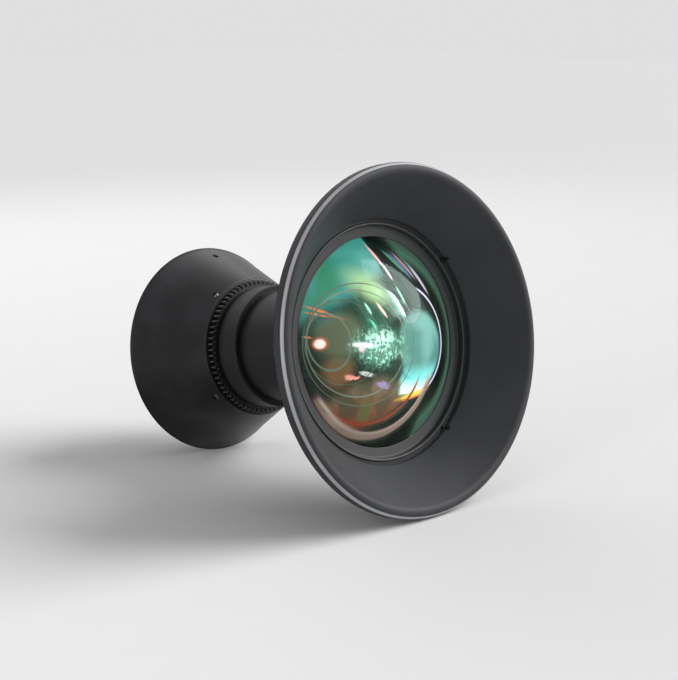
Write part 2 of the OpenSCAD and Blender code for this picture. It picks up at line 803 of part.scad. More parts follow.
module mounting_flange() {
    y_plate = -flange_t;
    y_collar = -flange_t - flange_collar_l;
    collar_in_r = bell_in_r(0) - flange_wall;
    color([0.14, 0.14, 0.15]) difference() {
        turned([
            [flange_bore_r, y_plate], [collar_in_r, y_plate],
            [min(collar_in_r, bell_in_r(y_collar) - edge_chamfer * 3), y_collar],
            [bell_in_r(y_collar) - seat_gap, y_collar],
            [bell_in_r(0) - seat_gap, 0], [flange_bore_r, 0]
        ]);
        for (a = turns(bolt_count, bolt_turn)) {
            rotate([0, a, 0]) translate([0, y_plate - flange_collar_l / 3, bolt_r])
                rotate([-90, 0, 0]) cylinder(r = bolt_hole_d / 2,
                    h = flange_t + flange_collar_l / 3 + cut_over, $fn = small_fn);
        }
        for (a = turns(rim_screw_count, rim_screw_turn)) {
            peg(a, y_rim_screw, rim_screw_d / 2 + fit_gap,
                collar_in_r - cut_over, bell_rim_r);
        }
    }
}

module rim_screws() {
    r1 = bell_r(y_rim_screw) - rim_screw_sink;
    r0 = bell_in_r(0) - flange_wall + seat_gap;
    color([0.30, 0.30, 0.31]) for (a = turns(rim_screw_count, rim_screw_turn)) {
        difference() {
            peg(a, y_rim_screw, rim_screw_d / 2, r0, r1);
            peg(a, y_rim_screw, rim_screw_d / 2 * socket_share, r1 - rim_screw_d / 2,
                r1 + cut_over, 6);
        }
    }
}

module lock_ring() {
    color([0.16, 0.16, 0.17]) difference() {
        turned([
            [flange_bore_r, 0], [lock_r, 0], [lock_r, lock_t - edge_chamfer],
            [lock_r - edge_chamfer, lock_t], [flange_bore_r, lock_t]
        ]);
        for (a = turns(lock_notch_count, bolt_turn)) {
            rotate([0, a, 0])
                translate([-lock_notch_w / 2, -cut_over, lock_r - lock_notch_depth])
                cube([lock_notch_w, lock_t + 2 * cut_over, lock_notch_depth + cut_over]);
        }
    }
}

module rear_barrel() {
    collar_r = journal_r + collar_w;
    y_front = y_main_back - rear_joint_l;
    color([0.12, 0.12, 0.13]) turned([
        [rear_r - rear_ledge, y_front], [bore_r - fit_gap, y_front],
        [bore_r - fit_gap, y_main_back], [journal_r, y_main_back],
        [journal_r, -flange_t - collar_t], [collar_r, -flange_t - collar_t],
        [collar_r, -flange_t], [journal_r, -flange_t],
        [journal_r, lock_t], [spigot_r, lock_t],
        [spigot_r, spigot_l - edge_chamfer], [spigot_r - edge_chamfer, spigot_l],
        [rear_r + rear_thread_step + fit_gap, spigot_l],
        [rear_r + rear_thread_step + fit_gap, y_rear_thread],
        [rear_r + fit_gap, y_rear_thread], [rear_r + fit_gap, y_rear_seat],
        [rear_r - rear_ledge, y_rear_seat]
    ]);
}

relay_dome_r = 70;
relay_back_r = 200;

module relay_lens() {
    near = rear_r - rear_ledge - seat_gap;
    color([0.55, 0.70, 0.72, 0.5]) union() {
        disc(rear_r, y_rear_seat, y_relay_back);
        dome(relay_dome_r, near, y_rear_seat, -1);
        dome(relay_back_r, near, y_relay_back, 1);
    }
}

module relay_spacer() {
    color([0.10, 0.10, 0.10]) ring(rear_r - rear_ledge, rear_r, y_relay_back, y_crown_front);
}

crown_front_r = 65;
cement_r = 80;
cement_depth = 4;
flint_back_r = 150;

module doublet_crown() {
    near = rear_r - rear_ledge - seat_gap;
    y_back = y_crown_front + crown_t;
    color([0.55, 0.70, 0.72, 0.5]) difference() {
        union() {
            disc(rear_r, y_crown_front, y_back);
            dome(crown_front_r, near, y_crown_front, -1);
        }
        hollow(cement_r, cement_depth, y_back, 1);
    }
}

module doublet_flint() {
    cement_near = sqrt(2 * cement_r * cement_depth - cement_depth * cement_depth);
    near = rear_r - rear_ledge - seat_gap;
    color([0.60, 0.68, 0.70, 0.5]) union() {
        disc(rear_r, y_flint_front, y_flint_back);
        dome(cement_r, cement_near, y_flint_front, -1);
        dome(flint_back_r, near, y_flint_back, 1);
    }
}

module rear_spacer() {
    color([0.10, 0.10, 0.10]) ring(rear_r - rear_ledge, rear_r, y_flint_back, y_rear_lens);
}

rear_front_r = 120;
rear_back_r = 100;

module rear_lens() {
    near = rear_r - rear_ledge - seat_gap;
    color([0.50, 0.62, 0.75, 0.5]) union() {
        disc(rear_r, y_rear_lens, y_rear_thread);
        dome(rear_front_r, near, y_rear_lens, -1);
        dome(rear_back_r, near, y_rear_thread, 1);
    }
}

module rear_retainer() {
    color([0.12, 0.12, 0.13])
        ring(rear_r - rear_ledge, rear_r + rear_thread_step, y_rear_thread,
             y_rear_thread + rear_retainer_t);
}

front_hood();
hood_shell();
hood_screws();
front_retainer();
front_lens();
front_seal();
front_barrel();
second_retainer();
second_lens();
third_retainer();
third_lens();
main_barrel();
fourth_retainer();
fourth_lens();
stop_spacer();
aperture_stop();
stop_retainer();
focus_cell();
focus_retainer();
focus_lens_front();
focus_spacer();
focus_lens_rear();
cam_followers();
cam_sleeve();
focus_ring();
focus_gear();
ring_screws();
thrust_washers();
rear_bell();
bell_screws();
mounting_flange();
rim_screws();
lock_ring();
rear_barrel();
relay_lens();
relay_spacer();
doublet_crown();
doublet_flint();
rear_spacer();
rear_lens();
rear_retainer();
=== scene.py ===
# %% [markdown]
# # An ultra-wide projection lens
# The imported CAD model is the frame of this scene: every barrel, ring, lens and screw is already
# in its place, in metres, with the optical axis along Y and the front glass towards -Y.
# Here the pieces whose edges catch the light are turned again with soft edges, the small
# repeating pieces come from Geometry Nodes, and everything gets a finish made of shader nodes.

# %% Load the frame
import json
import math
import bpy
import bmesh
from mathutils import Matrix, Vector

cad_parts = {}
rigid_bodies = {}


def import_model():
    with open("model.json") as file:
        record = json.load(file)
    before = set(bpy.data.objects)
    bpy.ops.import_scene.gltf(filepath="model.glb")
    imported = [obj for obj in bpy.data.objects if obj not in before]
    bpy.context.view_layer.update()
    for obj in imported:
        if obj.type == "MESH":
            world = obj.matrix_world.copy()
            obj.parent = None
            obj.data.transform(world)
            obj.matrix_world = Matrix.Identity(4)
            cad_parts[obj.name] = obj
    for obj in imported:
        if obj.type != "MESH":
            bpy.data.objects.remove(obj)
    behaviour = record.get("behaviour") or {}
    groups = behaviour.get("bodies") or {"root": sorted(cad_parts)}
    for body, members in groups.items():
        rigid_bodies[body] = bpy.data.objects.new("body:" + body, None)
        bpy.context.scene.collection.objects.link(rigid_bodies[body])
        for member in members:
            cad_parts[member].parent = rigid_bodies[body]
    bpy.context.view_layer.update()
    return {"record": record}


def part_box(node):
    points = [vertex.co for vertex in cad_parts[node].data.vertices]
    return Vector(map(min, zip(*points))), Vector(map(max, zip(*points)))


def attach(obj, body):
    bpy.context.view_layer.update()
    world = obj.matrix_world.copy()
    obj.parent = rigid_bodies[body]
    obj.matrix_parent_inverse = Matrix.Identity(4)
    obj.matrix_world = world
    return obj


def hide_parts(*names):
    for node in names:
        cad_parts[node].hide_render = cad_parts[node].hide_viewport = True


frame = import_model()
MM = 0.001


def add_object(name, data):
    """A new object in the scene, at the origin and unturned."""
    made = bpy.data.objects.new(name, data)
    bpy.context.scene.collection.objects.link(made)
    return made


# %% [markdown]
# ## The camera
# The photograph was taken from the front left of the hood, a little above the axis. A camera is
# placed by its position and by the directions of its right side, its top and its back, because
# three directions say a turn more plainly than three angles do.

# %% Camera at the photograph's view
PHOTO_LONG_SIDE = 680
FOCAL_PIXELS = 1600
SENSOR = 36.0
CAMERA_PLACE = Vector((-0.709, -0.921, 0.078))
CAMERA_RIGHT = Vector((0.73055, -0.67214, -0.12071)).normalized()
CAMERA_BACK = Vector((-0.66896, -0.73988, 0.07144)).normalized()
camera_up = CAMERA_BACK.cross(CAMERA_RIGHT).normalized()
camera_turn = Matrix((camera_up.cross(CAMERA_BACK), camera_up, CAMERA_BACK)).transposed()
camera_data = bpy.data.cameras.new("view_camera")
camera_data.sensor_width = SENSOR
camera_data.lens = SENSOR * FOCAL_PIXELS / PHOTO_LONG_SIDE
camera = add_object("view_camera", camera_data)
camera.matrix_world = Matrix.Translation(CAMERA_PLACE) @ camera_turn.to_4x4()
bpy.context.scene.camera = camera
bpy.context.scene.view_settings.view_transform = "Standard"
print("focal length", round(camera_data.lens, 1), "mm")

# %% [markdown]
# ## Sizes of the lens
# The pieces below have to meet their CAD neighbours, so their ends and their widths are read
# from the boxes of the CAD nodes. A box doesn't show a groove or a bore, so those few sizes are
# named here, in millimetres like the rest. FIT is the clearance between two nested pieces.

# %% Sizes from the frame
def ends(node):
    """Front and back station of a CAD node along the axis."""
    return [round(corner.y / MM, 1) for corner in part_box(node)]


def outer(node):
    """Outer radius of a CAD node."""
    return round(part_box(node)[1].x / MM, 1)


LIP_Y, FACE_Y = ends("front_hood")
RING_FRONT_Y, RING_BACK_Y = ends("focus_ring")
GEAR_FRONT_Y = ends("focus_gear")[0]
BELL_FRONT_Y = ends("rear_bell")[0]
HOOD_R, RETAINER_R, SLEEVE_R = outer("front_hood"), outer("front_retainer"), outer("cam_sleeve")
BAND_R, BELL_RIM_R, COLLAR_R = outer("focus_ring"), outer("rear_bell"), outer("rear_barrel")
print("lip", LIP_Y, "face", FACE_Y, "band", BAND_R, "bell", BELL_RIM_R)

# %% Sizes that no box shows
FIT = 0.05
EYE_R, JOURNAL_R, BELL_NECK_R = 79.4, 36.0, 47.5
GROOVE_R, GROOVE_FRONT_Y = 40.5, -61.4
TEETH, MODULE = 72, 1.25
PITCH_R = TEETH * MODULE / 2
TEETH_TIP_R, TEETH_FOOT_R = PITCH_R + MODULE, PITCH_R - 1.25 * MODULE
LIP_ROUND, LIP_LENGTH, HOOD_WALL = 4.5, 8.0, 3.0
LIP_CENTRE_R, LIP_CENTRE_Y = HOOD_R - LIP_ROUND, LIP_Y + LIP_ROUND
LIP_BACK_Y = LIP_Y + LIP_LENGTH
BELL_SCREW_Y, RIM_SCREW_Y, RIM_CHAMFER = -49.0, -14.0, 0.83


def bell_r(y):
    """Radius of the bell's outer cone."""
    return BELL_RIM_R + (BELL_RIM_R - BELL_NECK_R) * y / -BELL_FRONT_Y


print("pitch radius", PITCH_R, "bell at its screws", round(bell_r(BELL_SCREW_Y), 2))

# %% [markdown]
# ## Shader maths that reads like Python
# A finish is a tree of nodes. Wiring Math nodes by hand is slow to read, so a small class wraps
# a socket: adding or multiplying two wires adds the Math node. A second class holds the tree,
# and one method of it makes any other node, for the finishes and for the world behind the lens.

# %% Wires
class Wire:
    """A number, colour or vector that runs through a tree."""

    def __init__(self, shading, socket):
        self.shading, self.socket = shading, socket

    def maths(self, operation, *values):
        return self.shading.node("Math", {"operation": operation}, *values)

    def __add__(self, other):
        return self.maths("ADD", self, other)

    def __sub__(self, other):
        return self.maths("SUBTRACT", self, other)

    def __rsub__(self, other):
        return self.maths("SUBTRACT", other, self)

    def __mul__(self, other):
        return self.maths("MULTIPLY", self, other)

    def __abs__(self):
        return self.maths("ABSOLUTE", self)

    __radd__, __rmul__ = __add__, __mul__

    def greater(self, other):
        return self.maths("MAXIMUM", self, other)


print("wire maths ready")


# %% Trees of shader nodes
class Shading:
    """A tree of shader nodes, for a finish or for the world."""

    def __init__(self, tree):
        self.tree = tree
        tree.nodes.clear()

    def node(self, kind, settings=None, *values, out=0, **named):
        """Any node: its settings first, then values or wires by order or by socket name."""
        made = self.tree.nodes.new("ShaderNode" + kind)
        for key, value in (settings or {}).items():
            setattr(made, key, value)
        by_key = {s.identifier: s for s in made.inputs}
        by_key.update({s.name.replace(" ", "_"): s for s in reversed(made.inputs[:])})
        for key, value in [*enumerate(values), *named.items()]:
            socket = made.inputs[key] if isinstance(key, int) else by_key[key]
            if isinstance(value, Wire):
                self.tree.links.new(value.socket, socket)
            else:
                wants_alpha = socket.type == "RGBA" and len(value) == 3
                socket.default_value = (*value, 1.0) if wants_alpha else value
        return Wire(self, made.outputs[out])

    def close(self, kind, shader):
        """Sends a shader to the tree's output."""
        end = self.tree.nodes.new("ShaderNode" + kind)
        self.tree.links.new(shader.socket, end.inputs["Surface"])


print("shader trees ready")


# %% Finishes
class Finish(Shading):
    """A material and the patterns that its tree is built from."""

    def __init__(self, name):
        self.material = bpy.data.materials.new(name + "_finish")
        self.material.use_nodes = True
        super().__init__(self.material.node_tree)
        self.place = self.node("TexCoord", out="Object")

    def blend(self, colour, over, mask):
        """Colour with another colour over it where the mask is 1."""
        settings = {"data_type": "RGBA", "clamp_factor": True}
        return self.node("Mix", settings, out=2, Factor_Float=mask, A_Color=colour, B_Color=over)

    def fade(self, value, start, end, low=0.0, high=1.0):
        """A smooth step of a value from start to end."""
        smooth = {"interpolation_type": "SMOOTHSTEP"}
        return self.node("MapRange", smooth, value, start, end, low, high)

    def noise(self, scale, detail=3.0, stretch=(1.0, 1.0, 1.0), vector=None):
        """Fractal noise on the piece, about 0.5 in the middle."""
        mapped = self.node("Mapping", None, Vector=vector or self.place, Scale=stretch)
        return self.node("TexNoise", None, Vector=mapped, Scale=scale, Detail=detail)

    def bump(self, height, strength=0.1, distance=0.0001):
        """A normal that follows a height."""
        return self.node("Bump", None, Strength=strength, Distance=distance, Height=height)

    def axis_radius(self):
        """Distance from the optical axis, in metres."""
        flat = self.node("VectorMath", {"operation": "MULTIPLY"}, self.place, (1.0, 0.0, 1.0))
        return self.node("VectorMath", {"operation": "LENGTH"}, flat, out=1)

    def station(self):
        """Place along the optical axis, in metres."""
        return self.node("SeparateXYZ", None, self.place, out=1)

    def surface(self, **sockets):
        """The Principled shader, with its sockets set or linked."""
        return self.node("BsdfPrincipled", None, **sockets)

    def finish(self, shader):
        self.close("OutputMaterial", shader)
        return self.material


print("finish patterns ready")

# %% [markdown]
# ## Finishes of the metal
# The hood, the barrels and the bell are black anodised aluminium. The real finish isn't one
# flat black: it is turned on a lathe, so it has rings round the axis that are a little
# rougher or smoother, and the anodising is slightly cloudy. A picture of metal could be wrapped
# round each piece, but noise needs no picture and has no seam. Noise that reads only the
# distance from the axis and the place along it gives the rings, and a finer one the grain.

# %% The painted highlight on the lip, drawn as a rubbed line
HIGHLIGHT_FACING, HIGHLIGHT_EDGE, HIGHLIGHT_CORE = 39, 19, 9
HIGHLIGHT_GREY = (0.42, 0.43, 0.45)


def rubbed_lip_highlight(paint, radius, station):
    """1 on the line of the rolled lip where a highlight is painted, as a lighter rubbed band."""
    facing = math.radians(HIGHLIGHT_FACING)
    off_r, off_y = radius - LIP_CENTRE_R * MM, station - LIP_CENTRE_Y * MM
    reach = off_r * math.cos(facing) - off_y * math.sin(facing)
    edge, core = [LIP_ROUND * math.cos(math.radians(a)) * MM for a in (HIGHLIGHT_EDGE, HIGHLIGHT_CORE)]
    return paint.fade(reach, edge, core)


print("lip round", LIP_ROUND, "mm at", LIP_CENTRE_R, LIP_CENTRE_Y)


# %% Anodised black
def anodised(name, colour, cloudy, rough, grain, rings, sheen=0.5, ring_step=0.9, with_lip_highlight=False):
    """Turned and anodised metal. Rings and grain are strengths, and ring_step is in millimetres."""
    paint = Finish(name)
    radius, station = paint.axis_radius(), paint.station()
    along = paint.node("CombineXYZ", None, radius, station, 0.0)
    ring_noise = paint.noise(1.0 / (ring_step * MM), 2.0, vector=along)
    cloud, fine = paint.noise(26.0, 3.0), paint.noise(1500.0, 2.0)
    shade = paint.blend(colour, cloudy, paint.fade(cloud, 0.35, 0.7))
    shiny_ring = paint.fade(ring_noise, 0.62, 0.85) * rings
    shade = paint.blend(shade, [1.5 * c for c in cloudy], shiny_ring)
    roughness = (cloud - 0.5) * 0.10 + (ring_noise - 0.5) * (0.16 * rings)
    roughness = roughness + (fine - 0.5) * 0.08 + rough
    metallic = 0.0
    # A painted highlight along the lip: a lighter, smoother, partly metallic line, as if rubbed.
    if with_lip_highlight:
        highlight_line = rubbed_lip_highlight(paint, radius, station) * paint.fade(cloud, 0.15, 0.6, 0.7, 1.0)
        shade = paint.blend(shade, HIGHLIGHT_GREY, highlight_line)
        roughness = roughness - highlight_line * 0.14
        metallic = highlight_line * 0.6
    normal = paint.bump(ring_noise * rings + fine * grain, 0.12, 0.0002)
    return paint.finish(paint.surface(Base_Color=shade, Roughness=roughness, Normal=normal,
                                      Metallic=metallic, Specular_IOR_Level=sheen))


hood_black = anodised("hood_black", (0.031, 0.032, 0.035), (0.039, 0.040, 0.044),
                      rough=0.58, grain=0.5, rings=0.4, sheen=0.27, with_lip_highlight=True)
barrel_black = anodised("barrel_black", (0.010, 0.0105, 0.0115), (0.016, 0.0165, 0.0175),
                        rough=0.50, grain=0.5, rings=0.5, sheen=0.20)
bell_black = anodised("bell_black", (0.005, 0.0055, 0.0070), (0.022, 0.023, 0.026),
                      rough=0.36, grain=0.3, rings=0.3, sheen=0.28)
ring_black = anodised("ring_black", (0.026, 0.027, 0.029), (0.034, 0.035, 0.037),
                      rough=0.40, grain=0.3, rings=0.8, ring_step=0.4)
anodised("inner_black", (0.004, 0.004, 0.0042), (0.007, 0.007, 0.0073), rough=0.62, grain=0.8,
         rings=0.6)
print("black finishes", len(bpy.data.materials))

# %% [markdown]
# The gear's teeth rub against the motor's pinion, so their tips are worn to a brighter grey.
# The wear could be painted on each tooth. Here it follows the distance from the axis, broken up
# by noise, so all 72 teeth get it at once and no two look the same.

# %% Worn gear
WEAR_START_R = 45.3


def worn_gear():
    paint = Finish("gear_black")
    patchy = paint.noise(900.0, 3.0)
    wear = paint.fade(paint.axis_radius(), WEAR_START_R * MM, TEETH_TIP_R * MM)
    wear = wear * paint.fade(patchy, 0.32, 0.62)
    shade = paint.blend((0.009, 0.0095, 0.010), (0.045, 0.045, 0.047), wear)
    return paint.finish(paint.surface(Base_Color=shade, Roughness=0.44 - wear * 0.12,
                                      Normal=paint.bump(patchy, 0.15)))


gear_black = worn_gear()
print("teeth worn from", WEAR_START_R, "to", TEETH_TIP_R)


# %% Steel, hard grey and rubber
def grained(name, dark, light, rough, scale, stretch=(1.0, 1.0, 1.0), metallic=1.0):
    """A plain material with a grain of two shades."""
    paint = Finish(name)
    grain = paint.noise(scale, 4.0, stretch)
    shade = paint.blend(dark, light, paint.fade(grain, 0.3, 0.7))
    return paint.finish(paint.surface(Base_Color=shade, Roughness=(grain - 0.5) * 0.2 + rough,
                                      Metallic=metallic, Normal=paint.bump(grain)))


TURNED_GRAIN = (1.0, 8.0, 1.0)
screw_steel = grained("screw_steel", (0.10, 0.10, 0.105), (0.20, 0.20, 0.205), 0.34, 1800.0)
screw_black = grained("screw_black", (0.010, 0.010, 0.011), (0.028, 0.028, 0.030), 0.42, 1800.0,
                      metallic=0.6)
grained("pin_steel", (0.45, 0.45, 0.46), (0.62, 0.62, 0.63), 0.25, 1200.0)
grained("cell_grey", (0.15, 0.15, 0.155), (0.23, 0.23, 0.235), 0.42, 300.0, TURNED_GRAIN, 0.7)
grained("seal_rubber", (0.012, 0.012, 0.012), (0.025, 0.025, 0.024), 0.72, 900.0, metallic=0.0)
print("finishes so far", len(bpy.data.materials))

# %% [markdown]
# Two inner pieces end right beside the focus band, and no pale line shows there on the real
# lens. So the brass sleeve's front end is black, and the white washers are dark at their outer
# edge. Both masks are a smooth step over a place on the piece.

# %% Brass with a blacked end, and washers dark at their outer edge
BARE_BRASS_Y, BLACKED_Y = -77.0, -78.0
WASHER_CLEAN_R, WASHER_DARK_R = 36.9, 37.3


def blacked_brass():
    paint = Finish("sleeve_brass")
    grain = paint.noise(260.0, 4.0, TURNED_GRAIN)
    bare = paint.blend((0.52, 0.38, 0.15), (0.70, 0.54, 0.25), paint.fade(grain, 0.3, 0.7))
    blacked = paint.fade(paint.station(), BARE_BRASS_Y * MM, BLACKED_Y * MM)
    return paint.finish(paint.surface(Base_Color=paint.blend(bare, (0.010, 0.010, 0.011), blacked),
                                      Roughness=(grain - 0.5) * 0.2 + 0.3,
                                      Metallic=1.0 - blacked, Normal=paint.bump(grain)))


def washer_with_dark_edge():
    paint = Finish("washer_white")
    grain = paint.noise(300.0, 4.0)
    clean = paint.blend((0.66, 0.66, 0.63), (0.80, 0.80, 0.77), grain)
    # Darker towards the outer edge, which shows beside the focus band.
    dark_edge = paint.fade(paint.axis_radius(), WASHER_CLEAN_R * MM, WASHER_DARK_R * MM)
    return paint.finish(paint.surface(Base_Color=paint.blend(clean, (0.014, 0.013, 0.012), dark_edge),
                                      Roughness=(grain - 0.5) * 0.2 + 0.48))


blacked_brass()
washer_with_dark_edge()
print("all finishes but glass", len(bpy.data.materials))

# %% [markdown]
# ## Glass with a coating
# Clear glass shows what is behind it and mirrors the room more the flatter it is looked at, so
# a Fresnel factor mixes a see-through shader with a glossy one. The coating of such a lens
# throws back green, teal and violet images of the studio from every inner surface. Tracing them
# through ten elements would take long and still need the real studio, so these reflections are
# painted into the front glass as soft patches, streaks and rings. Each is a shape on the plane
# across the axis, in millimetres from the glass's centre, and a Mapping node turns and scales it.

# %% Shapes for the painted reflections
class Coating(Finish):
    """Glass with painted reflections, drawn in millimetres across the axis."""

    def __init__(self, name):
        super().__init__(name)
        self.colour, self.cover, self.laid = None, None, 0

    def oval(self, x, z, half_x, half_z, turn=0.0):
        """0 at the centre of an oval and 1 at its edge."""
        local = self.node("Mapping", {"vector_type": "TEXTURE"}, Vector=self.place,
                          Location=(x * MM, 0.0, z * MM), Rotation=(0.0, math.radians(turn), 0.0),
                          Scale=(half_x * MM, 1.0e3, half_z * MM))
        return self.node("VectorMath", {"operation": "LENGTH"}, local, out=1)

    def patch(self, x, z, half_x, half_z, turn=0.0, core=0.3):
        """1 inside a soft oval. It fades from its core, a share of its size, to its edge."""
        return self.fade(self.oval(x, z, half_x, half_z, turn), 1.0, core)

    def line(self, start, end, half_width):
        """1 along a thin tapered streak between two points."""
        dx, dz = end[0] - start[0], end[1] - start[1]
        return self.patch((start[0] + end[0]) / 2, (start[1] + end[1]) / 2, math.hypot(dx, dz) / 2,
                          half_width, math.degrees(-math.atan2(dz, dx)), core=0.45)

    def hoop(self, x, z, half_x, half_z, width):
        """1 along a thin oval line."""
        off = abs(self.oval(x, z, half_x, half_z) - 1.0)
        return self.fade(off, width / half_x, width / half_x * 0.25)

    def side(self, x, z, direction, soft):
        """1 on one side of a line through a point, towards a direction in degrees."""
        a = math.radians(direction)
        across = self.node("VectorMath", {"operation": "DOT_PRODUCT"}, self.place,
                           (math.cos(a), 0.0, math.sin(a)), out=1)
        level = (x * math.cos(a) + z * math.sin(a)) * MM
        return self.fade(across, level - soft * MM, level + soft * MM)

    def lay(self, colour, mask, cover=1.0):
        """Puts a colour over what is there, and makes the glass that much less clear."""
        self.colour = self.blend(self.colour, colour, mask)
        self.cover = self.cover.greater(mask * cover)
        self.laid += 1


front = Coating("front_glass")
from_axis = front.axis_radius()
wobble, grain = front.noise(38.0, 2.0), front.noise(260.0, 3.0)
print("coating shapes ready")

# %% The dark glass, its brown floor and its olive middle
OLIVE, MOSS = (0.045, 0.072, 0.042), (0.045, 0.060, 0.030)
front.colour = front.blend((0.010, 0.022, 0.018), OLIVE, front.fade(wobble, 0.3, 0.7))
front.cover = front.fade(wobble, 0.2, 0.9, 0.28, 0.34)
brown = front.blend((0.19, 0.16, 0.09), (0.24, 0.075, 0.035), front.side(-30, -34, 270, 12.0))
mottled = front.fade(front.noise(85.0, 5.0, (1.0, 1.0, 0.6)), 0.40, 0.62)
front.lay(front.blend(brown, MOSS, mottled * 0.7), front.patch(-30, -36, 42, 24, -8, 0.45), 0.9)
front.lay((0.20, 0.105, 0.035), front.patch(-48, -12, 16, 20), 0.85)
front.lay((0.10, 0.13, 0.035), front.patch(-30, -41, 6, 11, core=0.2), 0.85)
front.lay((0.125, 0.155, 0.090), front.patch(-45, 10, 24, 24, core=0.4), 0.85)
print("images laid", front.laid)

# %% The teal window at the upper left
TEAL, SEA_GREEN, LEAF = (0.045, 0.290, 0.235), (0.040, 0.250, 0.140), (0.360, 0.600, 0.270)
window = front.side(-2.5, 50, 180, 1.6) * front.side(-30, 31, 112, 8.0)
window = window * front.fade(from_axis, 72.5 * MM, 69 * MM)
teal = front.blend(TEAL, SEA_GREEN, front.patch(-48, 46, 18, 30, 30, 0.4))
teal = front.blend(teal, (0.09, 0.36, 0.32), front.fade(wobble, 0.45, 0.75))
front.lay(teal, window, 0.97)
leaf = front.patch(-17, 35, 25, 15, 42, 0.15) * front.side(-3.5, 50, 180, 2.5)
front.lay(LEAF, leaf, 0.95)
print("images laid", front.laid)

# %% The pane on the right and its bright corner
pane_colour = front.blend((0.075, 0.230, 0.195), (0.15, 0.38, 0.33), front.fade(wobble, 0.4, 0.7))
pane = front.patch(15, -6, 27, 29, core=0.72) * front.side(-7, -8, 12, 4.0)
front.lay(pane_colour, pane * front.side(10, -34, 76, 1.2), 0.95)
corner_colour = front.blend((0.20, 0.80, 0.76), (0.72, 1.0, 0.78), front.side(8, -29, 262, 5.0))
corner = front.side(-6, -30, 0, 2.0) * front.side(8, -35.5, 84, 1.4) * front.side(0, -21, 270, 7.0)
front.lay(corner_colour, corner * front.patch(3, -3, 33, 36, core=0.94), 1.0)
front.lay((0.95, 0.60, 0.08), front.line((-12, -37.2), (29, -33.8), 2.6))
front.lay((0.75, 0.20, 0.05), front.line((-9, -38.8), (24, -36.2), 0.9))
# A painted green reflection along the right rim of the glass.
right_rim_reflection = front.side(16, 0, 0, 8.0) * front.fade(from_axis, 45 * MM, 60 * MM)
front.lay((0.075, 0.150, 0.105), right_rim_reflection, 0.85)
print("images laid", front.laid)

# %% [markdown]
# The middle shows a crowd of small mint lights. Drawing each would be endless, so two noises
# cut a soft green oval into specks, and a Voronoi texture breaks its lower edge.

# %% The crowd of small lights
MINT, PALE_MINT = (0.38, 0.85, 0.62), (0.62, 1.0, 0.84)
crowd = front.patch(-20, -1, 25, 20, 10, 0.35)
specks = front.node("TexVoronoi", {"feature": "F1"}, Vector=front.place, Scale=380.0)
bright = front.fade(front.noise(520.0, 1.5, (1.0, 1.0, 0.7)), 0.49, 0.60)
bright = bright * front.fade(grain, 0.36, 0.50)
front.lay((0.11, 0.28, 0.20), crowd, 0.95)
front.lay(MINT, crowd * bright)
brightest = front.patch(-20, 3, 15, 11, -20, 0.2) * front.fade(front.noise(430.0, 1.5), 0.46, 0.56)
front.lay(PALE_MINT, brightest)
front.lay((0.80, 0.90, 0.88), front.line((-43, 4), (-22, 0), 2.4))
front.lay((0.85, 0.68, 0.72), front.patch(-33.5, 0, 3.4, 4.0))
front.lay((0.02, 0.05, 0.04), front.patch(-11, -14, 12, 7, 20) * front.fade(specks, 0.35, 0.6), 0.9)
print("images laid", front.laid)

# %% Streaks of long lamps, each from a point to a point
PINK, ORANGE = (0.85, 0.42, 0.42), (0.85, 0.22, 0.08)
SHARP_STREAKS = (
    ((-4.5, 66), (0.8, 44), 1.7, PINK), ((-1.0, 54), (3.2, 36), 1.4, (0.85, 0.80, 0.85)),
    ((2.2, 38), (7.2, 19.5), 1.3, (0.25, 0.75, 0.45)), ((-25.5, 29.5), (-21.8, 18), 1.3, MINT),
    ((-18, 29.5), (-10.5, 14), 1.4, (0.90, 0.72, 0.58)), ((-61, 31.8), (-39, 18.0), 1.3, ORANGE),
    ((-61.5, 27.3), (-47, 21.4), 1.1, ORANGE), ((-66, 12.5), (-59, 10.4), 1.0, ORANGE))
SOFT_STREAKS = (
    ((8, 61), (24, 33), (0.05, 0.13, 0.34)), ((12, 60), (28, 33), (0.38, 0.22, 0.23)),
    ((4, 62), (20, 38), (0.08, 0.26, 0.14)), ((18, 58), (35, 28), (0.06, 0.20, 0.17)),
    ((24, 50), (37, 22), (0.50, 0.50, 0.58)))
BROKEN_BARS = (
    ((-47, -16.0), (-33, -18.5), 2.8, (0.85, 0.34, 0.27), 1.0),
    ((-38, -14.0), (-24, -19.0), 2.2, (0.60, 0.66, 0.62), 0.9),
    ((-26, -22.0), (-12, -28.5), 3.0, (0.34, 0.28, 0.48), 0.95))
broken = front.fade(grain, 0.36, 0.50)
for start, end, half_width, colour in SHARP_STREAKS:
    front.lay(colour, front.line(start, end, half_width))
for start, end, colour in SOFT_STREAKS:
    front.lay(colour, front.line(start, end, 2.3), 0.85)
for start, end, half_width, colour, cover in BROKEN_BARS:
    front.lay(colour, front.line(start, end, half_width) * broken, cover)
print("images laid", front.laid)

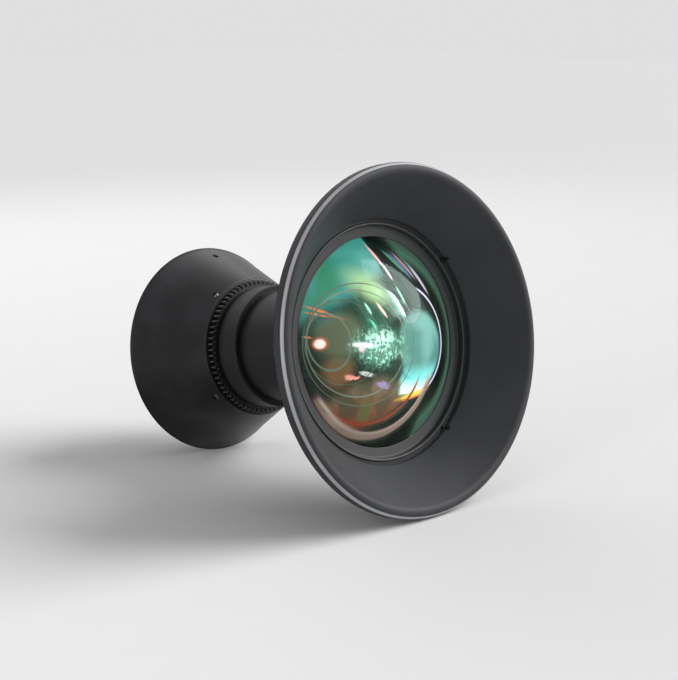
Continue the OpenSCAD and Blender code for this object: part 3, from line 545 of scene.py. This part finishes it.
# %% Rings: edges of the elements behind, seen in the glass
LILAC, RUST, BEIGE = (0.60, 0.58, 0.75), (0.24, 0.045, 0.020), (0.36, 0.28, 0.22)
right_side, low_side = front.side(22, 0, 0, 4.0), front.side(0, -26, 270, 5.0)
left_side = front.side(-20, 0, 180, 12.0)
HOOPS = (
    ((-51.0, 6.7, 11.8, 17.7, 0.9), (0.16, 0.22, 0.16), 0.8, 1.0),
    ((-32.0, 3.0, 31.8, 33.4, 0.7), (0.20, 0.26, 0.20), 0.8, 1.0),
    ((-29.0, 2.0, 36.5, 38.5, 0.6), (0.13, 0.16, 0.12), 0.7, 1.0),
    ((-42.0, 5.0, 22.5, 26.5, 0.5), (0.12, 0.17, 0.12), 0.7, 1.0),
    ((4, -1, 37, 37, 1.5), LILAC, 1.0, right_side),
    ((0, 0, 60, 60, 1.4), (0.05, 0.20, 0.12), 0.8, right_side),
    ((0, 0, 65, 65, 1.2), (0.05, 0.14, 0.10), 0.7, right_side),
    ((-24, -2, 41, 47, 1.6), RUST, 1.0, low_side),
    ((-18, -2, 46, 56, 4.2), BEIGE, 0.75, low_side),
    ((-18, -1, 45, 55, 1.3), (0.46, 0.36, 0.31), 0.8, low_side),
    ((0, 0, 68.3, 68.3, 1.4), (0.10, 0.025, 0.035), 0.9, left_side))
for shape, colour, cover, where in HOOPS:
    front.lay(colour, front.hoop(*shape) * where, cover)
print("images laid", front.laid)

# %% The one strong lamp, with a warm halo
front.lay(ORANGE, front.patch(-56.8, 6.3, 5.6, 5.2, core=0.45))
front.lay((1.0, 0.95, 0.85), front.patch(-56.6, 6.3, 3.6, 3.7, core=0.6))
print("images laid", front.laid)

# %% [markdown]
# The painted reflections belong on the outer dome only, and the hollow behind it would show them
# a second time. Both faces are one mesh, so a mask keeps what lies at the dome's own distance
# from its centre. The painted reflections also glow a little, which holds their colours up where
# the studio light doesn't reach.

# %% The whole front glass
DOME_CENTRE = (0.0, -99.4 * MM, 0.0)
DOME_FADE, DOME_SKIN = 97.5, 99.2
from_centre = front.node("VectorMath", {"operation": "DISTANCE"}, front.place, DOME_CENTRE, out=1)
front.cover = front.cover * front.fade(from_centre, DOME_FADE * MM, DOME_SKIN * MM)
painted = front.surface(Base_Color=front.colour, Roughness=0.32, Specular_IOR_Level=0.2,
                        Coat_Weight=0.6, Coat_IOR=1.25, Coat_Roughness=0.03,
                        Emission_Color=front.blend((0.0, 0.0, 0.0), front.colour, front.cover),
                        Emission_Strength=0.50)


def clear_glass(glass, tint, mirrored, roughness, ior):
    """See-through glass that mirrors more the flatter it is looked at."""
    clear = glass.node("BsdfTransparent", None, Color=tint)
    mirror = glass.node("BsdfGlossy", None, Color=mirrored, Roughness=roughness)
    return glass.node("MixShader", None, glass.node("Fresnel", None, IOR=ior), clear, mirror)


room = clear_glass(front, (0.80, 0.95, 0.90), (0.75, 1.0, 0.92), 0.03, 1.25)
front_glass = front.finish(front.node("MixShader", None, front.cover, room, painted))
print("front glass nodes", len(front_glass.node_tree.nodes))

# %% [markdown]
# The lenses behind the front glass are seen through it. They are clear with a coating colour
# of their own, and a little haze keeps their domes readable against the black bores. Without
# it they would vanish, as clean glass does in front of black.

# %% Inner and rear glass
def hazy_glass(name, tint, mirrored, haze):
    glass = Finish(name)
    cloud = glass.noise(60.0, 2.0)
    room = clear_glass(glass, tint, mirrored, 0.05, 1.30)
    colour = glass.blend([0.3 * c for c in mirrored], [0.6 * c for c in mirrored], cloud)
    skin = glass.surface(Base_Color=colour, Roughness=0.15, Coat_Weight=1.0)
    veil = glass.fade(cloud, 0.2, 0.9) * haze
    return glass.finish(glass.node("MixShader", None, veil, room, skin))


hazy_glass("inner_glass", (0.75, 0.90, 0.85), (0.35, 0.90, 0.65), 0.25)
hazy_glass("rear_glass", (0.70, 0.80, 0.95), (0.45, 0.50, 0.95), 0.35)
print("all finishes", len(bpy.data.materials))

# %% [markdown]
# ## Turning pieces
# Nearly everything on a lens is turned, so its shape is an outline swept round the axis. Real
# turned edges are never razor sharp: the tool breaks them by a tenth of a millimetre or more,
# and that small round is what catches the light. A Bevel modifier could do it, but it can't
# tell a lip from a groove. So every corner of an outline gets a short arc of its own size, with
# a point on each side that keeps the flat faces flat under smooth shading.

# %% Outlines
ROUND_STEPS = 4
FLAT_SHARE, ROUND_SHARE, FLAT_REACH = 0.48, 0.4, 1.8


def soften(outline, rounding):
    """An outline of (radius, station) or (radius, station, rounding) with its corners rounded."""
    points = []
    for i, corner in enumerate(outline):
        here = Vector(corner[:2])
        back = Vector(outline[i - 1][:2]) - here
        ahead = Vector(outline[(i + 1) % len(outline)][:2]) - here
        want = corner[2] if len(corner) > 2 else rounding
        if want == 0:
            points.append(here)
            continue
        reach = min(want, ROUND_SHARE * back.length, ROUND_SHARE * ahead.length)
        start, end = here + back.normalized() * reach, here + ahead.normalized() * reach
        flat = FLAT_REACH * reach
        points.append(here + back.normalized() * min(flat, FLAT_SHARE * back.length))
        for k in range(ROUND_STEPS + 1):
            t = k / ROUND_STEPS
            points.append(start * (1 - t) ** 2 + here * (2 * t * (1 - t)) + end * t ** 2)
        points.append(here + ahead.normalized() * min(flat, FLAT_SHARE * ahead.length))
    return points


def arc(centre, radius, start, end, steps):
    """Points on an arc that needs no more rounding, between two angles in degrees."""
    turns = [math.radians(start + (end - start) * i / steps) for i in range(steps + 1)]
    return [(centre[0] + radius * math.cos(a), centre[1] + radius * math.sin(a), 0) for a in turns]


print("points of a softened square", len(soften([(0, 0), (1, 0), (1, 1), (0, 1)], 0.1)))

# %% The lathe
LATHE_SIDES = 256
SHARP_ANGLE = math.radians(34)


def bridge(tools, rows):
    """Faces between each row of points and the next."""
    for row, following in zip(rows, rows[1:]):
        for i in range(len(row)):
            j = (i + 1) % len(row)
            tools.faces.new((row[i], row[j], following[j], following[i]))


def closed_mesh(name, tools):
    """Merges doubles, points the faces outwards and shades smooth, but for the sharp edges."""
    bmesh.ops.remove_doubles(tools, verts=tools.verts, dist=1e-7)
    bmesh.ops.recalc_face_normals(tools, faces=tools.faces)
    for face in tools.faces:
        face.smooth = True
    for edge in tools.edges:
        edge.smooth = edge.calc_face_angle(math.pi) < SHARP_ANGLE
    mesh = bpy.data.meshes.new(name)
    tools.to_mesh(mesh)
    tools.free()
    return mesh


def turned(name, outline):
    """A closed outline in millimetres, swept round the axis."""
    tools = bmesh.new()
    turns = [2 * math.pi * i / LATHE_SIDES for i in range(LATHE_SIDES)]
    rows = [[tools.verts.new((radius * MM * math.sin(a), station * MM, radius * MM * math.cos(a)))
             for a in turns] for radius, station in outline]
    bridge(tools, rows + rows[:1])
    return add_object(name, closed_mesh(name, tools))


print("lathe ready, sides", LATHE_SIDES)

# %% Handing a piece over
LENS_BODY, RING_BODY = "lens_body", "focus_ring_body"


def settle(piece, finish, body, slot, *stands_for):
    """Gives a piece its finish and its body, and hides the CAD nodes that it stands for. The slot
    is not used.
    """
    piece.data.materials.clear()
    piece.data.materials.append(finish)
    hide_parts(*stands_for)
    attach(piece, body)
    piece.data.calc_loop_triangles()
    print(piece.name, "triangles", len(piece.data.loop_triangles))


# %% [markdown]
# ## Holes and repeated pieces with Geometry Nodes
# Screws, their holes and the gear's teeth repeat at even turns round the axis. A loop could copy
# them, but a tree keeps the rule in one place, with inputs for its sizes. One tree puts copies
# of a piece round the axis, and a second one cuts a ring of round holes. A piece passes through
# a tree and comes out as a plain mesh, because the export drops instances.

# %% Building and running a tree
class Tree:
    """A Geometry Nodes tree with named inputs."""

    def __init__(self, name):
        self.group = bpy.data.node_groups.new(name, "GeometryNodeTree")
        self.sockets = {}
        for way in ("INPUT", "OUTPUT"):
            self.socket("Geometry", way, "Geometry")
        self.start = self.group.nodes.new("NodeGroupInput")
        self.end = self.group.nodes.new("NodeGroupOutput")

    def socket(self, name, way, kind):
        """A socket on the tree's own input or output."""
        kind = "NodeSocket" + kind
        return self.group.interface.new_socket(name, in_out=way, socket_type=kind)

    def asks(self, name, kind="Float"):
        """A named input of the tree."""
        self.sockets[name] = self.socket(name, "INPUT", kind).identifier
        return self.start.outputs[name]

    def node(self, kind, settings=None, *values, out=0, **named):
        """Any node: its settings first, then values or links by order or by socket name."""
        made = self.group.nodes.new(kind)
        for key, value in (settings or {}).items():
            setattr(made, key, value)
        by_name = [(made.inputs[key.replace("_", " ")], value) for key, value in named.items()]
        for socket, value in [*zip(made.inputs, values), *by_name]:
            if isinstance(value, bpy.types.NodeSocket):
                self.group.links.new(value, socket)
            else:
                socket.default_value = value
        return made.outputs[out]

    def maths(self, operation, a, b):
        return self.node("ShaderNodeMath", {"operation": operation}, a, b)

    def spins(self, count, first):
        """The turn about the axis of each copy, as a rotation vector."""
        step = self.maths("DIVIDE", 2 * math.pi, count)
        steps = self.maths("MULTIPLY", self.node("GeometryNodeInputIndex"), step)
        angle = self.maths("ADD", steps, first)
        return self.node("ShaderNodeCombineXYZ", None, 0.0, angle, 0.0)

    def finish(self, geometry, material):
        """Every tree ends in real geometry with its material."""
        real = self.node("GeometryNodeRealizeInstances", Geometry=geometry)
        painted = self.node("GeometryNodeSetMaterial", Geometry=real, Material=material)
        self.group.links.new(painted, self.end.inputs[0])

    def run(self, piece, **values):
        """Sends a piece through the tree and keeps the result as a plain mesh."""
        modifier = piece.modifiers.new("tree", "NODES")
        modifier.node_group = self.group
        for name, value in values.items():
            modifier[self.sockets[name.replace("_", " ")]] = value
        piece.data.update()
        seen = bpy.context.evaluated_depsgraph_get()
        mesh = bpy.data.meshes.new_from_object(piece.evaluated_get(seen))
        piece.modifiers.remove(modifier)
        mesh.name = piece.data.name
        piece.data = mesh
        return piece


print("tree helper ready")

# %% Tree: copies round the axis
round_axis = Tree("copies_round_axis")
copies, first_turn = round_axis.asks("Copies", "Int"), round_axis.asks("First Turn")
copy_material = round_axis.asks("Material", "Material")
copied = round_axis.node("GeometryNodeInstanceOnPoints",
                         Points=round_axis.node("GeometryNodePoints", Count=copies),
                         Instance=round_axis.start.outputs["Geometry"],
                         Rotation=round_axis.spins(copies, first_turn))
round_axis.finish(copied, copy_material)
print("inputs", list(round_axis.sockets))

# %% Tree: a ring of round holes
DRILL_SIDES = 40
hole_ring = Tree("ring_of_holes")
holes, first_hole = hole_ring.asks("Copies", "Int"), hole_ring.asks("First Turn")
hole_radius, hole_depth = hole_ring.asks("Hole Radius"), hole_ring.asks("Depth")
hole_place, hole_tilt = hole_ring.asks("Place", "Vector"), hole_ring.asks("Tilt", "Vector")
hole_material = hole_ring.asks("Material", "Material")
bit = hole_ring.node("GeometryNodeMeshCylinder", Vertices=DRILL_SIDES, Radius=hole_radius,
                     Depth=hole_depth)
placed_bit = hole_ring.node("GeometryNodeTransform", Geometry=bit, Translation=hole_place,
                            Rotation=hole_tilt)
bits = hole_ring.node("GeometryNodeInstanceOnPoints",
                      Points=hole_ring.node("GeometryNodePoints", Count=holes),
                      Instance=placed_bit, Rotation=hole_ring.spins(holes, first_hole))
solid_bits = hole_ring.node("GeometryNodeRealizeInstances", Geometry=bits)
drilled = hole_ring.node("GeometryNodeMeshBoolean", {"operation": "DIFFERENCE", "solver": "EXACT"},
                         hole_ring.start.outputs["Geometry"], solid_bits)
hole_ring.finish(drilled, hole_material)
print("inputs", list(hole_ring.sockets))

# %% Drilling a piece
FACING_FRONT, FACING_OUT = math.pi / 2, 0.0


def drill(piece, finish, count, turn, radius, depth, place, tilt):
    """Cuts a ring of holes. The place is the middle of a hole, and lengths are in millimetres."""
    hole_ring.run(piece, Copies=count, First_Turn=turn, Hole_Radius=radius * MM, Depth=depth * MM,
                  Place=[v * MM for v in place], Tilt=(tilt, 0.0, 0.0), Material=finish)


def resharpen(piece):
    """Shades a drilled piece smooth again, with the edges of its holes kept sharp."""
    tools = bmesh.new()
    tools.from_mesh(piece.data)
    piece.data = closed_mesh(piece.name, tools)
    return piece


print("drill ready, sides", DRILL_SIDES)

# %% [markdown]
# ## The hood
# The hood is one deep dish of turned aluminium that keeps stray light off the glass. Its lip is
# rolled over, so it shows a bright line of light all round, and its finish paints a highlight
# along it too. Its foot steps down to the ring that holds the glass. Four small cap screws clamp
# it, half sunk into the step. The lip is two arcs in the outline, because an arc keeps its
# highlight thin at any distance.

# %% The hood's dish
SCREW_TURN = math.radians(-36)
HOOD_SCREW_R = EYE_R
SEAT_Y, DISH_FOOT_Y, FOOT_BACK_Y = FACE_Y - 2.0, FACE_Y - 5.5, FACE_Y - 3.34
FOOT_WALL, DISH_SLOPE = 2.1, 221.0
COUNTERBORE_R, COUNTERBORE_DEPTH = 1.8, 5.0
lip_centre = (LIP_CENTRE_R, LIP_CENTRE_Y)
hood_outline = soften([
    (RETAINER_R + FIT, FACE_Y), (RETAINER_R + FIT, SEAT_Y), (EYE_R, SEAT_Y),
    (EYE_R, DISH_FOOT_Y, 0.5), *arc(lip_centre, LIP_ROUND, DISH_SLOPE, 360.0, 28),
    (HOOD_R, LIP_BACK_Y, 0.3), (HOOD_R - HOOD_WALL, LIP_BACK_Y, 0.3),
    *arc(lip_centre, LIP_ROUND - HOOD_WALL, 360.0, DISH_SLOPE, 14),
    (EYE_R + FOOT_WALL, FOOT_BACK_Y, 0.5), (EYE_R + FOOT_WALL, FACE_Y)], 0.25)
hood = turned("hood_dish", hood_outline)
drill(hood, hood_black, 4, SCREW_TURN, COUNTERBORE_R, COUNTERBORE_DEPTH,
      (0.0, SEAT_Y - COUNTERBORE_DEPTH / 2, HOOD_SCREW_R), FACING_FRONT)
settle(resharpen(hood), hood_black, LENS_BODY, "hood_black", "front_hood")

# %% [markdown]
# ## The ring round the glass
# A threaded ring presses the front glass against its rubber seal. Its face falls towards the
# glass in fine steps, and each step shows as a thin bright line. A bump could fake the steps,
# but they show in profile at the glass's edge, so the outline has every one.

# %% The glass ring
CROWN_Y, RING_FOOT_Y = ends("front_retainer")
CROWN_BREAK, CROWN_INNER_R, LAND_Y, RING_EYE_R = 0.5, 75.83, -174.25, 68.25
glass_ring_outline = soften([
    (RETAINER_R, RING_FOOT_Y), (RETAINER_R, CROWN_Y + CROWN_BREAK, 0.3),
    (RETAINER_R - CROWN_BREAK, CROWN_Y, 0.3), (CROWN_INNER_R, CROWN_Y, 0.25),
    (CROWN_INNER_R - CROWN_BREAK, CROWN_Y + CROWN_BREAK, 0.25), (74.83, LAND_Y, 0.15),
    (74.33, LAND_Y, 0.15), (74.08, -173.81, 0.15), (RING_EYE_R, -173.37, 0.2),
    (RING_EYE_R, -172.69), (70.42, RING_FOOT_Y)], 0.2)
settle(turned("glass_ring", glass_ring_outline), ring_black, LENS_BODY, "ring_black",
       "front_retainer")

# %% [markdown]
# ## The focus ring and its gear
# The ring that the focus motor turns has a smooth band, a narrow groove, and a row of 72 teeth.
# The wheel could be one outline of a thousand points, but one tooth is easier to shape and to
# change. So a tooth is drawn once, with flanks that curve to a narrower tip, and Geometry Nodes
# puts it round the axis 72 times.

# %% The smooth band
band_outline = soften([
    (SLEEVE_R + FIT, RING_FRONT_Y), (BAND_R, RING_FRONT_Y, 0.6), (BAND_R, GROOVE_FRONT_Y, 0.5),
    (GROOVE_R, GROOVE_FRONT_Y, 0.15), (GROOVE_R, RING_BACK_Y), (SLEEVE_R + FIT, RING_BACK_Y)], 0.2)
settle(turned("focus_band", band_outline), barrel_black, RING_BODY, "barrel_black", "focus_ring")

# %% One tooth
TOOTH_FLANK = ((1.60, 43.25), (1.50, 43.55), (1.22, 44.30), (0.98, 45.00), (0.74, 45.65),
               (0.56, 46.05), (0.40, 46.22), (0.16, TEETH_TIP_R))
TOOTH_BREAK = 0.22


def gear_tooth():
    """One tooth on the +Z side, with its face edges broken."""
    tools = bmesh.new()
    profile = [*TOOTH_FLANK, *((-x, z) for x, z in reversed(TOOTH_FLANK))]
    rows = []
    for station, shrink in ((GEAR_FRONT_Y, TOOTH_BREAK), (GEAR_FRONT_Y + TOOTH_BREAK, 0.0),
                            (RING_BACK_Y - TOOTH_BREAK, 0.0), (RING_BACK_Y, TOOTH_BREAK)):
        row = []
        for x, z in profile:
            inward = math.copysign(min(shrink, abs(x) * 0.6), x)
            row.append(tools.verts.new(((x - inward) * MM, station * MM, (z - shrink) * MM)))
        rows.append(row)
    bridge(tools, rows)
    tools.faces.new(rows[0])
    tools.faces.new(reversed(rows[-1]))
    return add_object("gear_teeth", closed_mesh("gear_teeth", tools))


def join_into(piece, other):
    """Adds the mesh of another piece to a piece, and takes the other away."""
    tools = bmesh.new()
    tools.from_mesh(piece.data)
    tools.from_mesh(other.data)
    bpy.data.objects.remove(other)
    tools.to_mesh(piece.data)
    tools.free()
    return piece


print("points on a tooth's outline", 2 * len(TOOTH_FLANK))

# %% Seventy-two teeth on their rim
teeth = round_axis.run(gear_tooth(), Copies=TEETH, First_Turn=0.0, Material=gear_black)
rim_outline = soften([
    (GROOVE_R + FIT, GEAR_FRONT_Y), (TEETH_FOOT_R, GEAR_FRONT_Y, 0.1),
    (TEETH_FOOT_R, RING_BACK_Y, 0.1), (GROOVE_R + FIT, RING_BACK_Y)], 0.15)
settle(join_into(turned("gear_ring", rim_outline), teeth), gear_black, RING_BODY, "gear_black",
       "focus_gear")

# %% [markdown]
# ## The bell
# The cone at the back covers the mount. It is polished finer than the barrels, so the lamps show
# in it as long soft streaks, and a mesh of coarse triangles would break them up. So it is turned
# again and drilled. Four screws hold its neck, and one deep hole near the rim lets a key reach
# the set screw that lines the bell up with the flange. The outline has stations on both sides of
# the holes, so that the cut faces there stay small and shade cleanly.

# %% The bell
BELL_WALL, BELL_FOOT_Y = 3.87, -44.0
NECK_ROUND, NECK_ROUND_Y = 1.5, -52.5
HOLE_STATIONS = (-51.8, -46.2, -40.0, -28.0, -17.0, -11.0)
RIM_ROUND_Y = -2.5
RIM_TURN = math.radians(2)
BELL_HEAD_TOP, BELL_HEAD_H = bell_r(BELL_SCREW_Y), 1.6
NECK_HOLE_R, NECK_HOLE_DEPTH = 2.15, 4.0
KEY_HOLE_R, KEY_HOLE_DEPTH, KEY_HOLE_MIDDLE_R = 2.3, 14.0, 64.0
neck_centre = (bell_r(NECK_ROUND_Y) - NECK_ROUND, NECK_ROUND_Y)
bell_outline = soften([
    (JOURNAL_R + FIT, BELL_FRONT_Y), *arc(neck_centre, NECK_ROUND, 270.0, 360.0, 8),
    *[(bell_r(y), y, 0) for y in HOLE_STATIONS], (bell_r(RIM_ROUND_Y), RIM_ROUND_Y, 0.8),
    (BELL_RIM_R, -RIM_CHAMFER, 0.25), (BELL_RIM_R - RIM_CHAMFER, 0.0, 0.25),
    (BELL_RIM_R - BELL_WALL, 0.0), *[(bell_r(y) - BELL_WALL, y, 0) for y in (-11.0, -17.0)],
    (bell_r(BELL_FOOT_Y) - BELL_WALL, BELL_FOOT_Y), (JOURNAL_R + FIT, BELL_FOOT_Y)], 0.3)
bell = turned("bell_cone", bell_outline)
drill(bell, bell_black, 4, SCREW_TURN, NECK_HOLE_R, NECK_HOLE_DEPTH,
      (0.0, BELL_SCREW_Y, BELL_HEAD_TOP - BELL_HEAD_H + NECK_HOLE_DEPTH / 2), FACING_OUT)
drill(bell, bell_black, 1, RIM_TURN, KEY_HOLE_R, KEY_HOLE_DEPTH,
      (0.0, RIM_SCREW_Y, KEY_HOLE_MIDDLE_R), FACING_OUT)
settle(resharpen(bell), bell_black, LENS_BODY, "bell_black", "rear_bell")

# %% [markdown]
# ## Screws
# Every screw is a small turned head with a rounded edge and a six-sided socket. A cylinder with
# a hexagon cut out would need a Boolean for each. Rings of points make it without one: round
# ones outside, and a hexagon drawn with the same number of points inside.

# %% A socket screw
SCREW_SIDES = 36
SCREW_BREAK, SOCKET_BREAK, SOCKET_SHARE = 0.1, 0.06, 0.55


def hexagon_r(angle, flats):
    """Radius of a hexagon at an angle, from its width across flats."""
    return flats / 2 / math.cos((angle % (math.pi / 3)) - math.pi / 6)


def ring_of_points(radius_at, height):
    """Points round a screw's own axis, at a radius that may change with the angle."""
    turns = [2 * math.pi * i / SCREW_SIDES for i in range(SCREW_SIDES)]
    return [Vector((radius_at(a) * math.cos(a), radius_at(a) * math.sin(a), height)) for a in turns]


def socket_screw(name, head_r, head_h, socket, shank_r, shank_l, place, tilt, edge=0.3):
    """A screw with its head's top at the place, looking along the tilted +Z. In millimetres."""
    flat_r = socket / 2 + 0.62 * (head_r - edge - socket / 2)
    outside = ((shank_r * 0.98, -head_h - shank_l), (shank_r, -head_h - shank_l + SCREW_BREAK),
               (shank_r, -head_h), (head_r - SCREW_BREAK, -head_h),
               (head_r, -head_h + SCREW_BREAK), (head_r, -edge),
               (head_r - 0.3 * edge, -0.3 * edge), (head_r - edge, 0.0), (flat_r, 0.0))
    inside = ((socket + 2 * SOCKET_BREAK, 0.0), (socket, -SOCKET_BREAK),
              (socket, -SOCKET_SHARE * head_h))
    rings = [ring_of_points(lambda a: radius, height) for radius, height in outside]
    rings += [ring_of_points(lambda a: hexagon_r(a, flats), height) for flats, height in inside]
    spot = Matrix.Translation(Vector(place) * MM) @ Matrix.Rotation(tilt, 4, "X")
    tools = bmesh.new()
    rows = [[tools.verts.new(spot @ (point * MM)) for point in ring] for ring in rings]
    bridge(tools, rows)
    tools.faces.new(reversed(rows[0]))
    tools.faces.new(rows[-1])
    return add_object(name, closed_mesh(name, tools))


def screw_set(name, finish, body, slot, stands_for, count, turn, **shape):
    """Copies of one screw round the axis, as one piece."""
    screw = socket_screw(name, **shape)
    made = round_axis.run(screw, Copies=count, First_Turn=turn, Material=finish)
    settle(made, finish, body, slot, stands_for)


print("screw helper ready")

# %% The four sets of screws
screw_set("hood_screw_set", screw_black, LENS_BODY, "screw_black", "hood_screws", 4, SCREW_TURN,
          head_r=1.6, head_h=1.6, socket=1.5, shank_r=0.8, shank_l=5.4,
          place=(0.0, FACE_Y - 3.6, HOOD_SCREW_R), tilt=FACING_FRONT)
screw_set("bell_screw_set", screw_steel, LENS_BODY, "screw_steel", "bell_screws", 4, SCREW_TURN,
          head_r=2.0, head_h=BELL_HEAD_H, socket=1.6, shank_r=1.5, shank_l=9.0,
          place=(0.0, BELL_SCREW_Y, BELL_HEAD_TOP), tilt=FACING_OUT)
screw_set("rim_screw_set", screw_black, LENS_BODY, "screw_black", "rim_screws", 1, RIM_TURN,
          head_r=1.8, head_h=2.0, socket=1.8, shank_r=1.75, shank_l=6.8,
          place=(0.0, RIM_SCREW_Y, 64.59), tilt=FACING_OUT)
screw_set("ring_screw_set", screw_steel, RING_BODY, "screw_steel", "ring_screws", 3,
          math.radians(60), head_r=1.0, head_h=1.0, socket=0.9, shank_r=0.98, shank_l=1.8,
          place=(0.0, -60.15, 40.4), tilt=FACING_OUT, edge=0.15)

# %% [markdown]
# ## The back of the lens
# Behind the bell the rear barrel is a plain turned spigot that slides into the projector. The
# CAD model's barrel would do from afar, but its razor edges catch no light, so it is turned
# again and its edges are broken like all the others.

# %% The rear barrel
BARREL_R, SPIGOT_R, BORE_R, THREAD_R = 36.0, 35.5, 32.05, 33.45
NOSE_R, NOSE_BORE_R, SPIGOT_BREAK = 32.95, 29.5, 0.5
SHOULDER_Y, BORE_FRONT_Y, COLLAR_FRONT_Y, COLLAR_BACK_Y = -46.4, -44.0, -14.0, -8.0
SPIGOT_FRONT_Y, THREAD_FRONT_Y = 4.0, 33.0
NOSE_Y, SPIGOT_BACK_Y = ends("rear_barrel")
spigot_outline = soften([
    (NOSE_BORE_R, NOSE_Y), (NOSE_R, NOSE_Y), (NOSE_R, SHOULDER_Y), (BARREL_R, SHOULDER_Y),
    (BARREL_R, COLLAR_FRONT_Y), (COLLAR_R, COLLAR_FRONT_Y), (COLLAR_R, COLLAR_BACK_Y),
    (BARREL_R, COLLAR_BACK_Y), (BARREL_R, SPIGOT_FRONT_Y), (SPIGOT_R, SPIGOT_FRONT_Y),
    (SPIGOT_R, SPIGOT_BACK_Y - SPIGOT_BREAK), (SPIGOT_R - SPIGOT_BREAK, SPIGOT_BACK_Y),
    (THREAD_R, SPIGOT_BACK_Y), (THREAD_R, THREAD_FRONT_Y), (BORE_R, THREAD_FRONT_Y),
    (BORE_R, BORE_FRONT_Y), (NOSE_BORE_R, BORE_FRONT_Y)], 0.2)
settle(turned("spigot_barrel", spigot_outline), barrel_black, LENS_BODY, "barrel_black",
       "rear_barrel")

# %% [markdown]
# ## Finishes on the pieces that stay
# The other pieces come straight from the CAD model: their shape is right as it is. Each gets
# its finish by the name of its material slot, so a new piece needs no new line here.

# %% Finishes by slot
for subpart in frame["record"]["subparts"]:
    finish = bpy.data.materials[subpart["material_slot"] + "_finish"]
    for slot in bpy.data.objects[subpart["node"]].material_slots:
        slot.material = finish

# %% [markdown]
# ## Floor, world and lamps
# The lens lies on its two rims, so the floor touches both, and in the lens's own frame it is
# tilted by 11 degrees. The floor and the world behind it are pale and plain. The world looks
# brighter to the camera and in reflections than it shines, so the backdrop is pale while the
# blacks stay black. A broad soft sun comes from the front right, a soft lamp stands above the
# back, and a thin one at the front left draws the edge of the hood.

# %% Pale floor
FLOOR_TILT = math.atan2(HOOD_R - BELL_RIM_R, -RIM_CHAMFER - LIP_BACK_Y)
FLOOR_COLOUR = (0.80, 0.80, 0.80)
FLOOR_HALF = 6.0
FLOOR_TOUCH = Vector((0.0, -RIM_CHAMFER, -BELL_RIM_R)) * MM
floor_spot = Matrix.Translation(FLOOR_TOUCH) @ Matrix.Rotation(FLOOR_TILT, 4, "X")
corners = [Vector((x, y, 0.0)) * FLOOR_HALF for x, y in ((-1, -1), (1, -1), (1, 1), (-1, 1))]
floor_mesh = bpy.data.meshes.new("floor")
floor_mesh.from_pydata([floor_spot @ corner for corner in corners], [], [(0, 1, 2, 3)])
floor = add_object("floor", floor_mesh)
floor_paint = Finish("floor_paint")
speckled = floor_paint.blend([0.98 * c for c in FLOOR_COLOUR], FLOOR_COLOUR,
                             floor_paint.noise(40.0, 2.0))
floor.data.materials.append(floor_paint.finish(
    floor_paint.surface(Base_Color=speckled, Roughness=0.9, Specular_IOR_Level=0.2)))
print("floor tilted by", round(math.degrees(FLOOR_TILT), 2), "degrees")

# %% World
SHINES, LOOKS = 0.36, 0.74
world = bpy.data.worlds.new("studio")
bpy.context.scene.world = world
world.use_nodes = True
backdrop = Shading(world.node_tree)
looked_at = backdrop.node("LightPath", out="Is Camera Ray")
for ray in ("Is Glossy Ray", "Is Transmission Ray"):
    looked_at = looked_at.greater(backdrop.node("LightPath", out=ray))
lit = backdrop.node("Background", None, Color=(1.0, 1.0, 1.0), Strength=SHINES)
seen_world = backdrop.node("Background", None, Color=(LOOKS, LOOKS, LOOKS))
backdrop.close("OutputWorld", backdrop.node("MixShader", None, looked_at, lit, seen_world))
print("world nodes", len(world.node_tree.nodes))

# %% Lamps
MIDDLE = Vector((0.0, -0.10, 0.0))


def lamp(name, kind, direction, energy):
    """A lamp that shines in a direction."""
    made = add_object(name, bpy.data.lights.new(name, kind))
    made.data.energy = energy
    made.rotation_euler = Vector(direction).to_track_quat("-Z", "Y").to_euler()
    return made


def soft_lamp(name, place, width, height, watts):
    """A rectangular lamp that looks at the middle of the lens."""
    made = lamp(name, "AREA", MIDDLE - Vector(place), watts)
    made.location = place
    made.data.shape, made.data.size, made.data.size_y = "RECTANGLE", width, height


sun = lamp("key", "SUN", (-0.74, 0.50, -0.45), 3.3)
sun.data.angle = math.radians(46)
soft_lamp("above_the_back", (0.25, 0.95, 1.05), 1.9, 0.8, 4.2)
soft_lamp("left_edge", (-1.30, -0.62, 0.35), 0.12, 0.9, 2.0)
print("lamps", [light.name for light in bpy.data.lights])
